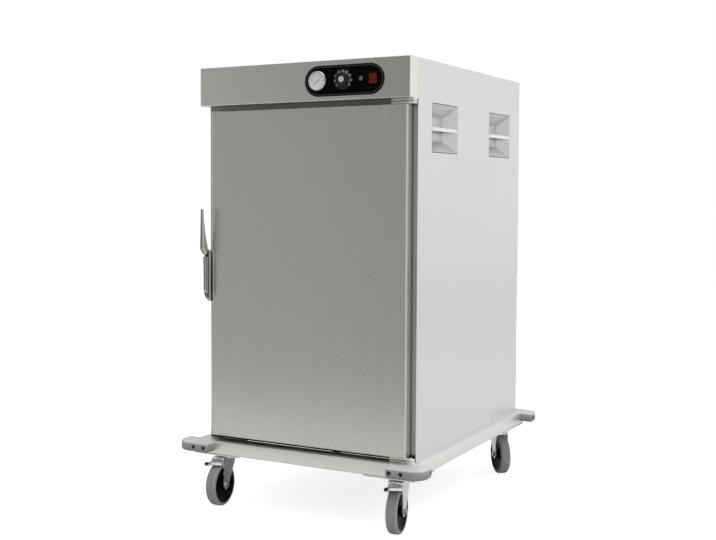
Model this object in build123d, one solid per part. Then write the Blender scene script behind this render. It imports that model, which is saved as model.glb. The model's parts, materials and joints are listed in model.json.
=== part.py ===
from build123d import *
import math
import os

# Mobile heated holding cabinet, in millimetres.
# Origin on the floor under the middle of the footprint, front towards -Y, +Z up.

# Body
BODY_WIDTH = 660.0
BODY_DEPTH = 846.0
BODY_HEIGHT = 1088.0
OUTER_SHEET = 1.5
PAN_SHEET = 2.0
LINER_SHEET = 1.2
SIDE_WALL = 40.0
BACK_WALL = 44.0
CAVITY_FLOOR_HEIGHT = 45.0
CAVITY_UNDER_HOOD = 46.0
ROOF_INSULATION = 40.0

# Chassis of rectangular tube, its corner pads and bumpers
RAIL_HEIGHT = 38.0
RAIL_WIDTH = 60.0
RAIL_WALL = 2.5
SIDE_OVERHANG = 20.0
FRONT_OVERHANG = 60.0
REAR_OVERHANG = 21.0
PAD_THICKNESS = 4.0
PAD_SIZE = 150.0
BUMPER_THICKNESS = 40.0
BUMPER_HEIGHT = 30.0
BUMPER_CROSS_LEG = 110.0
BUMPER_SIDE_LEG = 75.0
BUMPER_CORNER_R = 44.0
BUMPER_END_R = 14.0
BUMPER_EDGE_R = 8.0
BUMPER_SCREW_FROM_END = 14.0
BUMPER_SCREW_PITCH = 34.0
BUMPER_RECESS_R = 6.0
BUMPER_SKIN = 10.0
BUMPER_SCREW_R = 3.0
BUMPER_SCREW_HEAD_R = 5.5
BUMPER_SCREW_HEAD = 4.0

# Casters
WHEEL_R = 62.5
TYRE_WIDTH = 32.0
TYRE_EDGE_R = 7.0
HUB_R = 53.5
HUB_RIM_WIDTH = 29.0
HUB_RIM = 6.0
HUB_WEB = 10.0
HUB_BOSS_R = 15.0
AXLE_R = 5.0
AXLE_HEAD_R = 9.0
AXLE_HEAD = 6.0
CASTER_HEIGHT = 154.0
CASTER_PLATE = (105.0, 85.0, 3.5)
CASTER_PLATE_CORNER_R = 8.0
PLATE_BOLT_X = 40.0
PLATE_BOLT_Y = 30.0
PLATE_BOLT_R = 4.0
PLATE_BOLT_HEAD_R = 7.0
PLATE_BOLT_HEAD = 5.0
RACE_R = 30.0
RACE_HEIGHT = 7.5
RACE_EDGE_R = 3.0
KINGPIN_R = 6.0
KINGPIN_HEAD_R = 11.0
KINGPIN_HEAD = 5.0
CASTER_TRAIL = 32.0
FORK_SHEET = 3.0
FORK_CROWN = 4.0
FORK_CROWN_R = 32.0
FORK_WHEEL_GAP = 2.5
FORK_FOOT_R = 14.0
FORK_TOP_FRONT = 48.0
FORK_TOP_BACK = 28.0
KINGPIN_FROM_RAIL_SIDE = 68.0
KINGPIN_FROM_FACE = 6.0
KINGPIN_FROM_BACK = 40.0
SWIVEL_FRONT_LEFT = 2.0
SWIVEL_FRONT_RIGHT = 8.0
SWIVEL_REAR_LEFT = -20.0
SWIVEL_REAR_RIGHT = 37.0
PEDAL_PIVOT_FORWARD = 42.0
PEDAL_PIVOT_ABOVE_WHEEL = 7.0
PEDAL_PIN_R = 3.0
PEDAL_EYE_R = 5.0
PEDAL_REACH = 50.0
PEDAL_DROP = 6.0
PEDAL_THICKNESS = 3.0
PEDAL_WIDTH = 42.0
PEDAL_FORK_GAP = 1.2
SHOE_LENGTH = 8.0
SHOE_WIDTH = 24.0
SHOE_BACK = 10.0
SHOE_DROP = 7.5

# Door
LATCH_MARGIN = 29.0
HINGE_MARGIN = 15.0
DOOR_BOTTOM_GAP = 13.0
DOOR_TOP_GAP = 15.0
DOOR_THICKNESS = 34.0
DOOR_SHEET = 1.5
DOOR_EDGE_R = 3.5
GASKET_THICKNESS = 6.0
GASKET_WIDTH = 14.0
GASKET_INSET = 1.5

# Hinges of the door, at its two right-hand corners
HINGE_PIN_R = 4.0
HINGE_BARREL_R = 9.5
HINGE_PLATE_DEPTH = 18.0
HINGE_PLATE_LENGTH = 61.0
HINGE_PIN_FROM_SIDE = 4.0
HINGE_PIN_FORWARD = 22.0
HINGE_GAP = 0.6
HINGE_PIN_REACH = 5.8

# Control hood above the door. The window's sides and the plate's middle are measured in from the
# body's right side, and each control's middle across from the plate's
HOOD_HEIGHT = 109.5
HOOD_DEPTH = 55.0
HOOD_EDGE_R = 2.5
SERVICE_WINDOW = (320.0, 72.0, 12.0, 100.0)
PANEL_X = 193.5
PANEL_Z_UP = 53.5
PANEL_WIDTH = 239.0
PANEL_HEIGHT = 84.0
PANEL_THICKNESS = 2.0
CONTROL_Z_UP = 55.0

# Dial thermometer
THERMO_X = -80.0
THERMO_BEZEL_R = 26.5
THERMO_BEZEL = 4.5
THERMO_CASE_R = 24.5
THERMO_CASE_DEPTH = 28.0
THERMO_BORE_R = 23.3
THERMO_BORE_DEPTH = 8.5
THERMO_DIAL = 1.5
THERMO_GLASS = 1.5
THERMO_GLASS_INSET = 0.8
POINTER_LENGTH = 18.0
POINTER_TAIL = 6.0
POINTER_WIDTH = 2.0
POINTER_SHEET = 0.8
POINTER_HUB_R = 2.6
POINTER_ARBOR_R = 1.2
POINTER_ARBOR = 6.0
POINTER_REST = -130.0

# Thermostat
STAT_X = -1.0
STAT_BODY = 42.0
STAT_DEPTH = 34.0
STAT_BUSH_R = 5.0
STAT_SHAFT_R = 3.0
KNOB_R = 19.0
KNOB_SKIRT_R = 27.0
KNOB_SKIRT = 3.0
KNOB_HEIGHT = 12.5
KNOB_FLUTES = 24
KNOB_FLUTE_R = 1.2
KNOB_EDGE_R = 1.5
KNOB_GAP = 0.8
KNOB_CAP_R = 7.5
KNOB_CAP = 1.2

# Pilot lamp
LAMP_X = 52.0
LAMP_R = 8.0
LAMP_BEZEL = 2.5
LAMP_BEZEL_EDGE = 0.8
LAMP_LENS_R = 6.2
LAMP_LENS = 4.0
LAMP_LENS_EDGE_R = 3.2
LAMP_BODY_R = 6.4
LAMP_DEPTH = 26.0

# Rocker switch
SWITCH_X = 87.5
SWITCH_WIDTH = 28.0
SWITCH_HEIGHT = 34.0
SWITCH_RIM = 2.0
SWITCH_RIM_WALL = 2.2
SWITCH_BODY_WIDTH = 26.0
SWITCH_BODY_HEIGHT = 32.0
SWITCH_DEPTH = 30.0
SWITCH_POCKET = 13.0
ROCKER_SIDE_GAP = 0.5
ROCKER_END_GAP = 1.2
ROCKER_TILT = 7.0
ROCKER_PIVOT_BEHIND = 4.0
ROCKER_HALF_THICKNESS = 5.0
ROCKER_RISE = 4.0
ROCKER_PIN_R = 1.5
ROCKER_PIN_LENGTH = 0.9

# Power inlet at the back
INLET_FROM_SIDE = 90.0
INLET_Z_UP = 60.0
INLET_FLANGE = (62.0, 42.0, 3.0)
INLET_BODY = (38.0, 30.0, 34.0)
INLET_POCKET = (28.0, 21.0, 20.0)
INLET_BLADE = (2.0, 6.0, 14.0)
INLET_BLADE_PITCH = 14.0

# Recessed push grips in the side panels
GRIP_LENGTH = 192.0
GRIP_HEIGHT = 136.0
GRIP_DEPTH = 32.0
GRIP_BEVEL = 35.0
GRIP_SHEET = 1.5
GRIP_BAR = 10.0
GRIP_FROM_TOP = 182.0
GRIP_BAR_BELOW_MIDDLE = 3.0
GRIP_FROM_FACE = 193.0
GRIP_FROM_BACK = 193.0
GRIP_POCKET_GAP = 2.0

# Latch on the door's left-hand edge. Its bottom is above the body's base, and its other heights
# run from the places that are worked out further down
LATCH_WIDTH = 13.0
LATCH_BOTTOM = 410.0
LATCH_STRAIGHT_BOTTOM = 42.0
LATCH_TOP = 89.0
LATCH_BACK_TOP = 15.0
LATCH_PROUD = 25.0
LATCH_BACK_SET = 1.0
LATCH_SLOT_BOTTOM = 5.0
LATCH_SLOT_BACK = 5.0
LEVER_PIVOT_UP = 11.0
LEVER_PIVOT_PROUD = 9.5
LEVER_HUB_R = 8.0
LEVER_PIN_R = 3.0
LEVER_TOP = 58.0
LEVER_THROAT = 14.0
LEVER_THROAT_PROUD = 20.0
LEVER_TIP_PROUD = 39.0
LEVER_WAIST = 56.0
LEVER_WAIST_PROUD = 34.0
LEVER_FRONT_PROUD = 43.0
LEVER_TIP_WIDTH = 8.0
LEVER_FRONT_R = 2.5
LEVER_CHIN = 4.0
LEVER_CHIN_PROUD = 26.0
LEVER_SIDE_GAP = 0.4
LEVER_TAIL_PROUD = 3.0
LEVER_TAIL_THICKNESS = 6.0
LEVER_TAIL_DROP = 13.5
EAR_THICKNESS = 2.2
EAR_BACK_PROUD = 1.0
EAR_RISE = 8.0
MAGNET_HEIGHT = 36.0
MAGNET_DEPTH = 14.0
MAGNET_WIDTH = 9.0
MAGNET_UP = 52.0
PLUNGER_R = 3.5
PLUNGER_DROP = 11.5
PLUNGER_TRAVEL = 4.0
PLUNGER_TAIL_GAP = 0.5
STRIKE_THICKNESS = 3.0
STRIKE_WIDTH = 15.0
STRIKE_HEIGHT = 95.0
STRIKE_BOTTOM = 45.0
STRIKE_GAP = 0.3

# Tray racks for trays 530 wide and 650 long
RACK_UPRIGHT = (4.0, 30.0)
RACK_UPRIGHT_FROM_FACE = 150.0
RACK_UPRIGHT_FROM_BACK = 120.0
LEDGE_PITCH = 70.0
LEDGE_FIRST_UP = 130.0
LEDGE_HEADROOM = 50.0
LEDGE_SHEET = 1.5
LEDGE_FLANGE = 30.0
LEDGE_LIP = 15.0
LEDGE_FROM_FACE = 60.0
LEDGE_FROM_BACK = 50.0

# Heater and water pan on the cavity floor
HEATER_R = 4.0
HEATER_RUN_X = (50.0, 150.0)
HEATER_BEND_R = 45.0
HEATER_UP = 20.0
HEATER_FROM_FACE = 180.0
HEATER_LOOP_FROM_BACK = 100.0
HEATER_FLANGE = (340.0, 30.0, 3.0)
BRACKET_SHEET = 2.0
BRACKET_HEIGHT = 40.0
BRACKET_WIDTH = 400.0
BRACKET_FOOT = 16.0
BRACKET_FROM_FACE = (270.0, 520.0)
WATER_PAN = (265.0, 325.0, 60.0)
WATER_PAN_SHEET = 1.5
WATER_PAN_RIM = 10.0

# Clearances shared by the fits, and how near two places are when they are the same one
RUNNING_FIT = 0.05
THRUST_GAP = 0.4
SEAL_GAP = 0.3
SAME_PLACE = 1e-6

# Places worked out from the sizes above
HALF_WIDTH = BODY_WIDTH / 2
FACE_Y = -(BODY_DEPTH + REAR_OVERHANG - FRONT_OVERHANG) / 2
BACK_Y = FACE_Y + BODY_DEPTH
BASE_Z = CASTER_HEIGHT + PAD_THICKNESS + RAIL_HEIGHT
TOP_Z = BASE_Z + BODY_HEIGHT
HOOD_Z = TOP_Z - HOOD_HEIGHT
RAIL_X = HALF_WIDTH + SIDE_OVERHANG
RAIL_FRONT = FACE_Y - FRONT_OVERHANG
RAIL_BACK = BACK_Y + REAR_OVERHANG
CAVITY_X = HALF_WIDTH - SIDE_WALL
CAVITY_BACK = BACK_Y - BACK_WALL
CAVITY_Z = BASE_Z + CAVITY_FLOOR_HEIGHT
CAVITY_TOP = HOOD_Z - CAVITY_UNDER_HOOD
INSULATION_TOP = CAVITY_TOP + ROOF_INSULATION
PANEL_Z = HOOD_Z + PANEL_Z_UP
CONTROL_Z = HOOD_Z + CONTROL_Z_UP
PANEL_MIDDLE = HALF_WIDTH - PANEL_X
THERMO_MIDDLE = PANEL_MIDDLE + THERMO_X
STAT_MIDDLE = PANEL_MIDDLE + STAT_X
LAMP_MIDDLE = PANEL_MIDDLE + LAMP_X
SWITCH_MIDDLE = PANEL_MIDDLE + SWITCH_X
HOOD_FRONT = FACE_Y - HOOD_DEPTH
PANEL_FRONT = HOOD_FRONT - PANEL_THICKNESS
DOOR_LEFT = -HALF_WIDTH + LATCH_MARGIN
DOOR_RIGHT = HALF_WIDTH - HINGE_MARGIN
DOOR_BOTTOM = BASE_Z + DOOR_BOTTOM_GAP
DOOR_TOP = HOOD_Z - DOOR_TOP_GAP
DOOR_BACK = FACE_Y - GASKET_THICKNESS
DOOR_FRONT = DOOR_BACK - DOOR_THICKNESS
HINGE_X = HALF_WIDTH - HINGE_PIN_FROM_SIDE
HINGE_Y = FACE_Y - HINGE_PIN_FORWARD
GRIP_Z = TOP_Z - GRIP_FROM_TOP
INLET_X = INLET_FROM_SIDE - HALF_WIDTH
KINGPIN_X = RAIL_X - KINGPIN_FROM_RAIL_SIDE
KINGPIN_FRONT_Y = FACE_Y + KINGPIN_FROM_FACE
KINGPIN_REAR_Y = BACK_Y - KINGPIN_FROM_BACK
FORK_INNER = TYRE_WIDTH / 2 + FORK_WHEEL_GAP
FORK_OUTER = FORK_INNER + FORK_SHEET
RACE_BOTTOM = CASTER_HEIGHT - CASTER_PLATE[2] - RACE_HEIGHT
CROWN_TOP = RACE_BOTTOM - THRUST_GAP
CROWN_BOTTOM = CROWN_TOP - FORK_CROWN
PEDAL_PIVOT_Z = 2 * WHEEL_R + PEDAL_PIVOT_ABOVE_WHEEL
LATCH_Z = BASE_Z + LATCH_BOTTOM
LATCH_STRAIGHT_Z = LATCH_Z + LATCH_STRAIGHT_BOTTOM
LATCH_TOP_Z = LATCH_STRAIGHT_Z + LATCH_TOP
LATCH_BACK_TOP_Z = LATCH_TOP_Z + LATCH_BACK_TOP
LEVER_PIVOT_Z = LATCH_TOP_Z + LEVER_PIVOT_UP
LEVER_CHIN_Z = LEVER_PIVOT_Z - LEVER_CHIN
LEVER_THROAT_Z = LEVER_PIVOT_Z + LEVER_THROAT
LEVER_WAIST_Z = LEVER_THROAT_Z + LEVER_WAIST
LEVER_TOP_Z = LEVER_WAIST_Z + LEVER_TOP
PLUNGER_Z = LEVER_PIVOT_Z - PLUNGER_DROP
MAGNET_Z = LATCH_Z + MAGNET_UP


def block(x0, x1, y0, y1, z0, z1):
    """A box given by its low and high sides."""
    middle = Pos((x0 + x1) / 2, (y0 + y1) / 2, (z0 + z1) / 2)
    return middle * Box(x1 - x0, y1 - y0, z1 - z0)


def rod_x(radius, x0, x1, y, z):
    """A round bar along X."""
    return Pos((x0 + x1) / 2, y, z) * Rot(0, 90, 0) * Cylinder(radius, x1 - x0)


def rod_y(radius, y0, y1, x, z):
    """A round bar along Y."""
    return Pos(x, (y0 + y1) / 2, z) * Rot(90, 0, 0) * Cylinder(radius, y1 - y0)


def rod_z(radius, z0, z1, x, y):
    """A round bar along Z."""
    return Pos(x, y, (z0 + z1) / 2) * Cylinder(radius, z1 - z0)


def mirrored_x(shape):
    """The same piece on the other side of the cabinet."""
    return mirror(shape, about=Plane.YZ)


def save(shapes, name):
    """Write one node: a single solid, or several like ones."""
    pieces = shapes if isinstance(shapes, list) else [shapes]
    solids = [solid for piece in pieces for solid in piece.solids()]
    whole = solids[0] if len(solids) == 1 else Compound(solids)
    export_step(whole, "parts/" + name + ".step")


# Chassis

def chassis_frame():
    """Two full-length side rails, two cross rails between them, and a pad under each corner."""
    bottom = BASE_Z - RAIL_HEIGHT
    inner_x = RAIL_X - RAIL_WIDTH

    def tube(x0, x1, y0, y1, along_x):
        outer = block(x0, x1, y0, y1, bottom, BASE_Z)
        trim_x = 0 if along_x else RAIL_WALL
        trim_y = RAIL_WALL if along_x else 0
        bore = block(x0 + trim_x, x1 - trim_x, y0 + trim_y, y1 - trim_y,
                     bottom + RAIL_WALL, BASE_Z - RAIL_WALL)
        return outer - bore

    rails = [tube(inner_x, RAIL_X, RAIL_FRONT, RAIL_BACK, False)]
    rails.append(mirrored_x(rails[0]))
    rails.append(tube(-inner_x, inner_x, RAIL_FRONT, RAIL_FRONT + RAIL_WIDTH, True))
    rails.append(tube(-inner_x, inner_x, RAIL_BACK - RAIL_WIDTH, RAIL_BACK, True))
    for y0 in (RAIL_FRONT, RAIL_BACK - PAD_SIZE):
        pad = block(RAIL_X - PAD_SIZE, RAIL_X, y0, y0 + PAD_SIZE, bottom - PAD_THICKNESS, bottom)
        for x, y in caster_bolt_places():
            if y0 < y < y0 + PAD_SIZE and x > 0:
                pad -= rod_z(PLATE_BOLT_R, bottom - PAD_THICKNESS, bottom, x, y)
        rails += [pad, mirrored_x(pad)]
    return rails


def bumper_screw_places():
    """The screws of the front right bumper: two in the leg across the front and one in the side leg."""
    first = RAIL_X + BUMPER_THICKNESS - BUMPER_CROSS_LEG + BUMPER_SCREW_FROM_END
    cross_x = [first, first + BUMPER_SCREW_PITCH]
    side_y = RAIL_FRONT - BUMPER_THICKNESS + BUMPER_SIDE_LEG - BUMPER_SCREW_FROM_END
    return cross_x, side_y, BASE_Z - BUMPER_HEIGHT / 2


def corner_bumper():
    """The bumper of the front right corner: a rounded angle round the rails, level with their tops."""
    x1 = RAIL_X + BUMPER_THICKNESS
    y0 = RAIL_FRONT - BUMPER_THICKNESS
    legs = Rectangle(BUMPER_CROSS_LEG, BUMPER_SIDE_LEG)
    plan = Pos(x1 - BUMPER_CROSS_LEG / 2, y0 + BUMPER_SIDE_LEG / 2) * legs
    plan -= Pos(RAIL_X - BUMPER_CROSS_LEG / 2, RAIL_FRONT + BUMPER_SIDE_LEG / 2) * legs
    corner = max(plan.vertices(), key=lambda v: v.X - v.Y)
    plan = fillet(corner, BUMPER_CORNER_R)
    front_end = min(plan.vertices(), key=lambda v: v.X + v.Y)
    side_end = max(plan.vertices(), key=lambda v: v.X + v.Y)
    plan = fillet([front_end, side_end], BUMPER_END_R)
    body = Pos(0, 0, BASE_Z - BUMPER_HEIGHT) * extrude(plan, BUMPER_HEIGHT)
    cross_x, side_y, z = bumper_screw_places()
    outer = [edge for edge in body.edges()
             if abs(edge.center().Z - z) > BUMPER_HEIGHT / 2 - SAME_PLACE and not touches_rail(edge)]
    body = fillet(outer, BUMPER_EDGE_R)
    for x in cross_x:
        body -= rod_y(BUMPER_RECESS_R, y0, RAIL_FRONT - BUMPER_SKIN, x, z)
        body -= rod_y(BUMPER_SCREW_R, y0, RAIL_FRONT, x, z)
    body -= rod_x(BUMPER_RECESS_R, RAIL_X + BUMPER_SKIN, x1, side_y, z)
    return body - rod_x(BUMPER_SCREW_R, RAIL_X, x1, side_y, z)


def touches_rail(edge):
    """Whether a bumper's edge lies on, or ends at, the rails' outer sides."""
    return any(abs(end.X - RAIL_X) < SAME_PLACE or abs(end.Y - RAIL_FRONT) < SAME_PLACE
               for end in (edge @ 0, edge @ 1))


def four_corners(piece):
    """Copies of a front right piece at all four corners."""
    rear = mirror(piece, about=Plane.XZ)
    return [piece, mirrored_x(piece), rear, mirrored_x(rear)]


def bumper_screws():
    """Screws through the bumpers' skins into the rails, heads down in the recesses."""
    cross_x, side_y, z = bumper_screw_places()
    seat_y = RAIL_FRONT - BUMPER_SKIN
    seat_x = RAIL_X + BUMPER_SKIN
    head = rod_x(BUMPER_SCREW_HEAD_R, seat_x, seat_x + BUMPER_SCREW_HEAD, side_y, z)
    screws = four_corners(head + rod_x(BUMPER_SCREW_R, RAIL_X, seat_x, side_y, z))
    for x in cross_x:
        head = rod_y(BUMPER_SCREW_HEAD_R, seat_y - BUMPER_SCREW_HEAD, seat_y, x, z)
        screws += four_corners(head + rod_y(BUMPER_SCREW_R, seat_y, RAIL_FRONT, x, z))
    return screws


# Casters, each built about its kingpin with the wheel trailing towards -Y

def caster_places():
    """Each caster's name, kingpin place and swivel angle at rest."""
    return [("front_left", -KINGPIN_X, KINGPIN_FRONT_Y, SWIVEL_FRONT_LEFT),
            ("front_right", KINGPIN_X, KINGPIN_FRONT_Y, SWIVEL_FRONT_RIGHT),
            ("rear_left", -KINGPIN_X, KINGPIN_REAR_Y, SWIVEL_REAR_LEFT),
            ("rear_right", KINGPIN_X, KINGPIN_REAR_Y, SWIVEL_REAR_RIGHT)]


def caster_bolt_places():
    """Where the bolts of the four mounting plates stand."""
    return [(x + side_x * PLATE_BOLT_X, y + side_y * PLATE_BOLT_Y)
            for _, x, y, _ in caster_places() for side_x in (-1, 1) for side_y in (-1, 1)]


def caster_plate():
    """Mounting plate with the upper race and the riveted kingpin."""
    length, width, thickness = CASTER_PLATE
    under = CASTER_HEIGHT - thickness
    plate = Pos(0, 0, under) * extrude(RectangleRounded(length, width, CASTER_PLATE_CORNER_R), thickness)
    for side_x in (-1, 1):
        for side_y in (-1, 1):
            plate -= rod_z(PLATE_BOLT_R, under, CASTER_HEIGHT, side_x * PLATE_BOLT_X, side_y * PLATE_BOLT_Y)
    race = rod_z(RACE_R, RACE_BOTTOM, under, 0, 0)
    race = chamfer(race.edges().sort_by(Axis.Z)[0], RACE_EDGE_R)
    head_top = CROWN_BOTTOM - THRUST_GAP
    pin = rod_z(KINGPIN_R, head_top, RACE_BOTTOM, 0, 0)
    head = rod_z(KINGPIN_HEAD_R, head_top - KINGPIN_HEAD, head_top, 0, 0)
    head = fillet(head.edges().sort_by(Axis.Z)[0], KINGPIN_HEAD / 2)
    return plate + race + pin + head


def caster_bolts():
    """Hexagon bolts that hold the mounting plates to the pads."""
    under = CASTER_HEIGHT - CASTER_PLATE[2]
    bolts = []
    for x, y in caster_bolt_places():
        head = Pos(x, y, under - PLATE_BOLT_HEAD) * extrude(
            RegularPolygon(PLATE_BOLT_HEAD_R, 6), PLATE_BOLT_HEAD)
        bolts.append(head + rod_z(PLATE_BOLT_R, under, CASTER_HEIGHT + PAD_THICKNESS, x, y))
    return bolts


def fork_leg(x0, with_pedal):
    """One leg of the fork: broad at the crown, tapering to a round foot at the axle."""
    foot = -CASTER_TRAIL
    outline = Polyline((-FORK_TOP_FRONT, CROWN_TOP), (FORK_TOP_BACK, CROWN_TOP),
                       (foot + FORK_FOOT_R, WHEEL_R), (foot - FORK_FOOT_R, WHEEL_R), close=True)
    side = make_face(outline) + Pos(foot, WHEEL_R) * Circle(FORK_FOOT_R)
    leg = Pos(x0, 0, 0) * extrude(Plane.YZ * side, FORK_SHEET)
    leg -= rod_x(AXLE_R, x0, x0 + FORK_SHEET, foot, WHEEL_R)
    if with_pedal:
        hole_r = PEDAL_PIN_R + RUNNING_FIT
        leg -= rod_x(hole_r, x0, x0 + FORK_SHEET, -PEDAL_PIVOT_FORWARD, PEDAL_PIVOT_Z)
    return leg


def fork(with_pedal):
    """Pressed steel fork: a crown that turns on the kingpin, and two legs."""
    crown = block(-FORK_INNER, FORK_INNER, -FORK_TOP_FRONT, FORK_TOP_BACK, CROWN_BOTTOM, CROWN_TOP)
    crown += rod_z(FORK_CROWN_R, CROWN_BOTTOM, CROWN_TOP, 0, 0)
    body = crown + fork_leg(FORK_INNER, with_pedal) + fork_leg(-FORK_OUTER, with_pedal)
    return body - rod_z(KINGPIN_R + RUNNING_FIT, CROWN_BOTTOM, CROWN_TOP, 0, 0)


def axle():
    """Axle bolt with its head on one side of the fork and its nut on the other."""
    y = -CASTER_TRAIL
    shank = rod_x(AXLE_R, -FORK_OUTER, FORK_OUTER, y, WHEEL_R)
    hexagon = Plane.YZ * RegularPolygon(AXLE_HEAD_R, 6)
    head = Pos(-FORK_OUTER - AXLE_HEAD, y, WHEEL_R) * extrude(hexagon, AXLE_HEAD)
    nut = Pos(FORK_OUTER, y, WHEEL_R) * extrude(hexagon, AXLE_HEAD)
    return head + shank + nut


def wheel_hub():
    """Moulded wheel core: boss, web and rim, turned about the axle."""
    boss = FORK_INNER - THRUST_GAP
    profile = Polyline(
        (AXLE_R + RUNNING_FIT, -boss), (HUB_BOSS_R, -boss), (HUB_BOSS_R, -HUB_WEB / 2),
        (HUB_R - HUB_RIM, -HUB_WEB / 2), (HUB_R - HUB_RIM, -HUB_RIM_WIDTH / 2),
        (HUB_R, -HUB_RIM_WIDTH / 2), (HUB_R, HUB_RIM_WIDTH / 2),
        (HUB_R - HUB_RIM, HUB_RIM_WIDTH / 2), (HUB_R - HUB_RIM, HUB_WEB / 2),
        (HUB_BOSS_R, HUB_WEB / 2), (HUB_BOSS_R, boss), (AXLE_R + RUNNING_FIT, boss), close=True)
    core = revolve(Plane.XZ * make_face(profile), Axis.Z)
    return Pos(0, -CASTER_TRAIL, WHEEL_R) * Rot(0, 90, 0) * core


def tyre():
    """Solid grey tread moulded on the hub's rim."""
    ring = Cylinder(WHEEL_R, TYRE_WIDTH) - Cylinder(HUB_R, TYRE_WIDTH)
    rims = [edge for edge in ring.edges().filter_by(GeomType.CIRCLE) if edge.radius > HUB_R + SAME_PLACE]
    ring = fillet(rims, TYRE_EDGE_R)
    return Pos(0, -CASTER_TRAIL, WHEEL_R) * Rot(0, 90, 0) * ring


def brake_pedal():
    """Pedal on a cross pin in the fork, with a shoe over the tread."""
    pivot_y = -PEDAL_PIVOT_FORWARD
    pin = rod_x(PEDAL_PIN_R, -FORK_OUTER, FORK_OUTER, pivot_y, PEDAL_PIVOT_Z)
    inner = FORK_INNER - THRUST_GAP
    eye = rod_x(PEDAL_EYE_R, -inner, inner, pivot_y, PEDAL_PIVOT_Z)
    top = PEDAL_PIVOT_Z + PEDAL_THICKNESS / 2
    tip_y = pivot_y - PEDAL_REACH
    root_y = -FORK_TOP_FRONT - PEDAL_FORK_GAP
    neck = block(-inner, inner, root_y - PEDAL_THICKNESS, pivot_y, top - PEDAL_THICKNESS, top)
    outline = Polyline((root_y, top), (tip_y, top - PEDAL_DROP),
                       (tip_y, top - PEDAL_DROP - PEDAL_THICKNESS),
                       (root_y, top - PEDAL_THICKNESS), close=True)
    blade = Pos(-PEDAL_WIDTH / 2, 0, 0) * extrude(Plane.YZ * make_face(outline), PEDAL_WIDTH)
    shoe_y = pivot_y - SHOE_BACK
    shoe = block(-SHOE_WIDTH / 2, SHOE_WIDTH / 2, shoe_y - SHOE_LENGTH, shoe_y,
                 PEDAL_PIVOT_Z - SHOE_DROP, top - PEDAL_THICKNESS)
    return pin + eye + neck + blade + shoe


# Body

def side_panel():
    """Right outer side sheet with its two grip windows."""
    panel = block(HALF_WIDTH - OUTER_SHEET, HALF_WIDTH, FACE_Y, BACK_Y, BASE_Z, TOP_Z)
    for y in grip_centres():
        panel -= block(HALF_WIDTH - OUTER_SHEET, HALF_WIDTH, y - GRIP_LENGTH / 2, y + GRIP_LENGTH / 2,
                       GRIP_Z - GRIP_HEIGHT / 2, GRIP_Z + GRIP_HEIGHT / 2)
    return panel


def grip_centres():
    """The grips' places along the cabinet."""
    return [FACE_Y + GRIP_FROM_FACE, BACK_Y - GRIP_FROM_BACK]


def grip_funnel(y, inset, floor_x):
    """A four-sided funnel narrowing from the panel's outer face to the grip's flat back."""
    mouth = Plane.YZ.offset(HALF_WIDTH) * Pos(y, GRIP_Z) * Rectangle(
        GRIP_LENGTH - 2 * inset, GRIP_HEIGHT - 2 * inset)
    slope = GRIP_BEVEL / GRIP_DEPTH
    shrink = 2 * (inset + slope * (HALF_WIDTH - floor_x))
    floor = Plane.YZ.offset(floor_x) * Pos(y, GRIP_Z) * Rectangle(GRIP_LENGTH - shrink, GRIP_HEIGHT - shrink)
    return loft([floor, mouth], ruled=True)


def grip_space(y):
    """The open inside of a grip's dish."""
    return grip_funnel(y, GRIP_SHEET, HALF_WIDTH - GRIP_DEPTH + GRIP_SHEET)


def grip_dishes():
    """Pressed dishes welded into the side panels' windows."""
    dishes = []
    for y in grip_centres():
        dish = grip_funnel(y, 0, HALF_WIDTH - GRIP_DEPTH) - grip_space(y)
        dishes += [dish, mirrored_x(dish)]
    return dishes


def grip_bars():
    """A square bar across each dish, flush with the panel and cut to the dish's slopes."""
    bars = []
    z = GRIP_Z - GRIP_BAR_BELOW_MIDDLE
    for y in grip_centres():
        bar = block(HALF_WIDTH - GRIP_BAR, HALF_WIDTH, y - GRIP_LENGTH / 2, y + GRIP_LENGTH / 2,
                    z - GRIP_BAR / 2, z + GRIP_BAR / 2)
        bar = bar & grip_space(y)
        bars += [bar, mirrored_x(bar)]
    return bars


def top_panel():
    """Roof sheet between the side panels."""
    inner = HALF_WIDTH - OUTER_SHEET
    return block(-inner, inner, FACE_Y, BACK_Y, TOP_Z - OUTER_SHEET, TOP_Z)


def bottom_pan():
    """Floor sheet that stands on the chassis rails."""
    inner = HALF_WIDTH - OUTER_SHEET
    return block(-inner, inner, FACE_Y, BACK_Y, BASE_Z, BASE_Z + PAN_SHEET)


def back_panel():
    """Rear sheet, with the window for the power inlet."""
    inner = HALF_WIDTH - OUTER_SHEET
    panel = block(-inner, inner, BACK_Y - OUTER_SHEET, BACK_Y, BASE_Z + PAN_SHEET, TOP_Z - OUTER_SHEET)
    width, height, _ = INLET_BODY
    z = HOOD_Z + INLET_Z_UP
    return panel - block(INLET_X - width / 2, INLET_X + width / 2, BACK_Y - OUTER_SHEET, BACK_Y,
                         z - height / 2, z + height / 2)


def face_frame():
    """Front frame welded from flat strips, round the cavity's mouth and round a window for the
    backs of the controls."""
    inner = HALF_WIDTH - OUTER_SHEET
    left_in, right_in, up0, up1 = SERVICE_WINDOW
    x0, x1 = HALF_WIDTH - left_in, HALF_WIDTH - right_in
    low, high = BASE_Z + PAN_SHEET, TOP_Z - OUTER_SHEET
    strips = [(-inner, -CAVITY_X, low, high), (CAVITY_X, inner, low, high),
              (-CAVITY_X, CAVITY_X, low, CAVITY_Z), (-CAVITY_X, CAVITY_X, CAVITY_TOP, HOOD_Z + up0),
              (-CAVITY_X, CAVITY_X, HOOD_Z + up1, high), (-CAVITY_X, x0, HOOD_Z + up0, HOOD_Z + up1),
              (x1, CAVITY_X, HOOD_Z + up0, HOOD_Z + up1)]
    return [block(left, right, FACE_Y, FACE_Y + PAN_SHEET, bottom, top)
            for left, right, bottom, top in strips]


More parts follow.
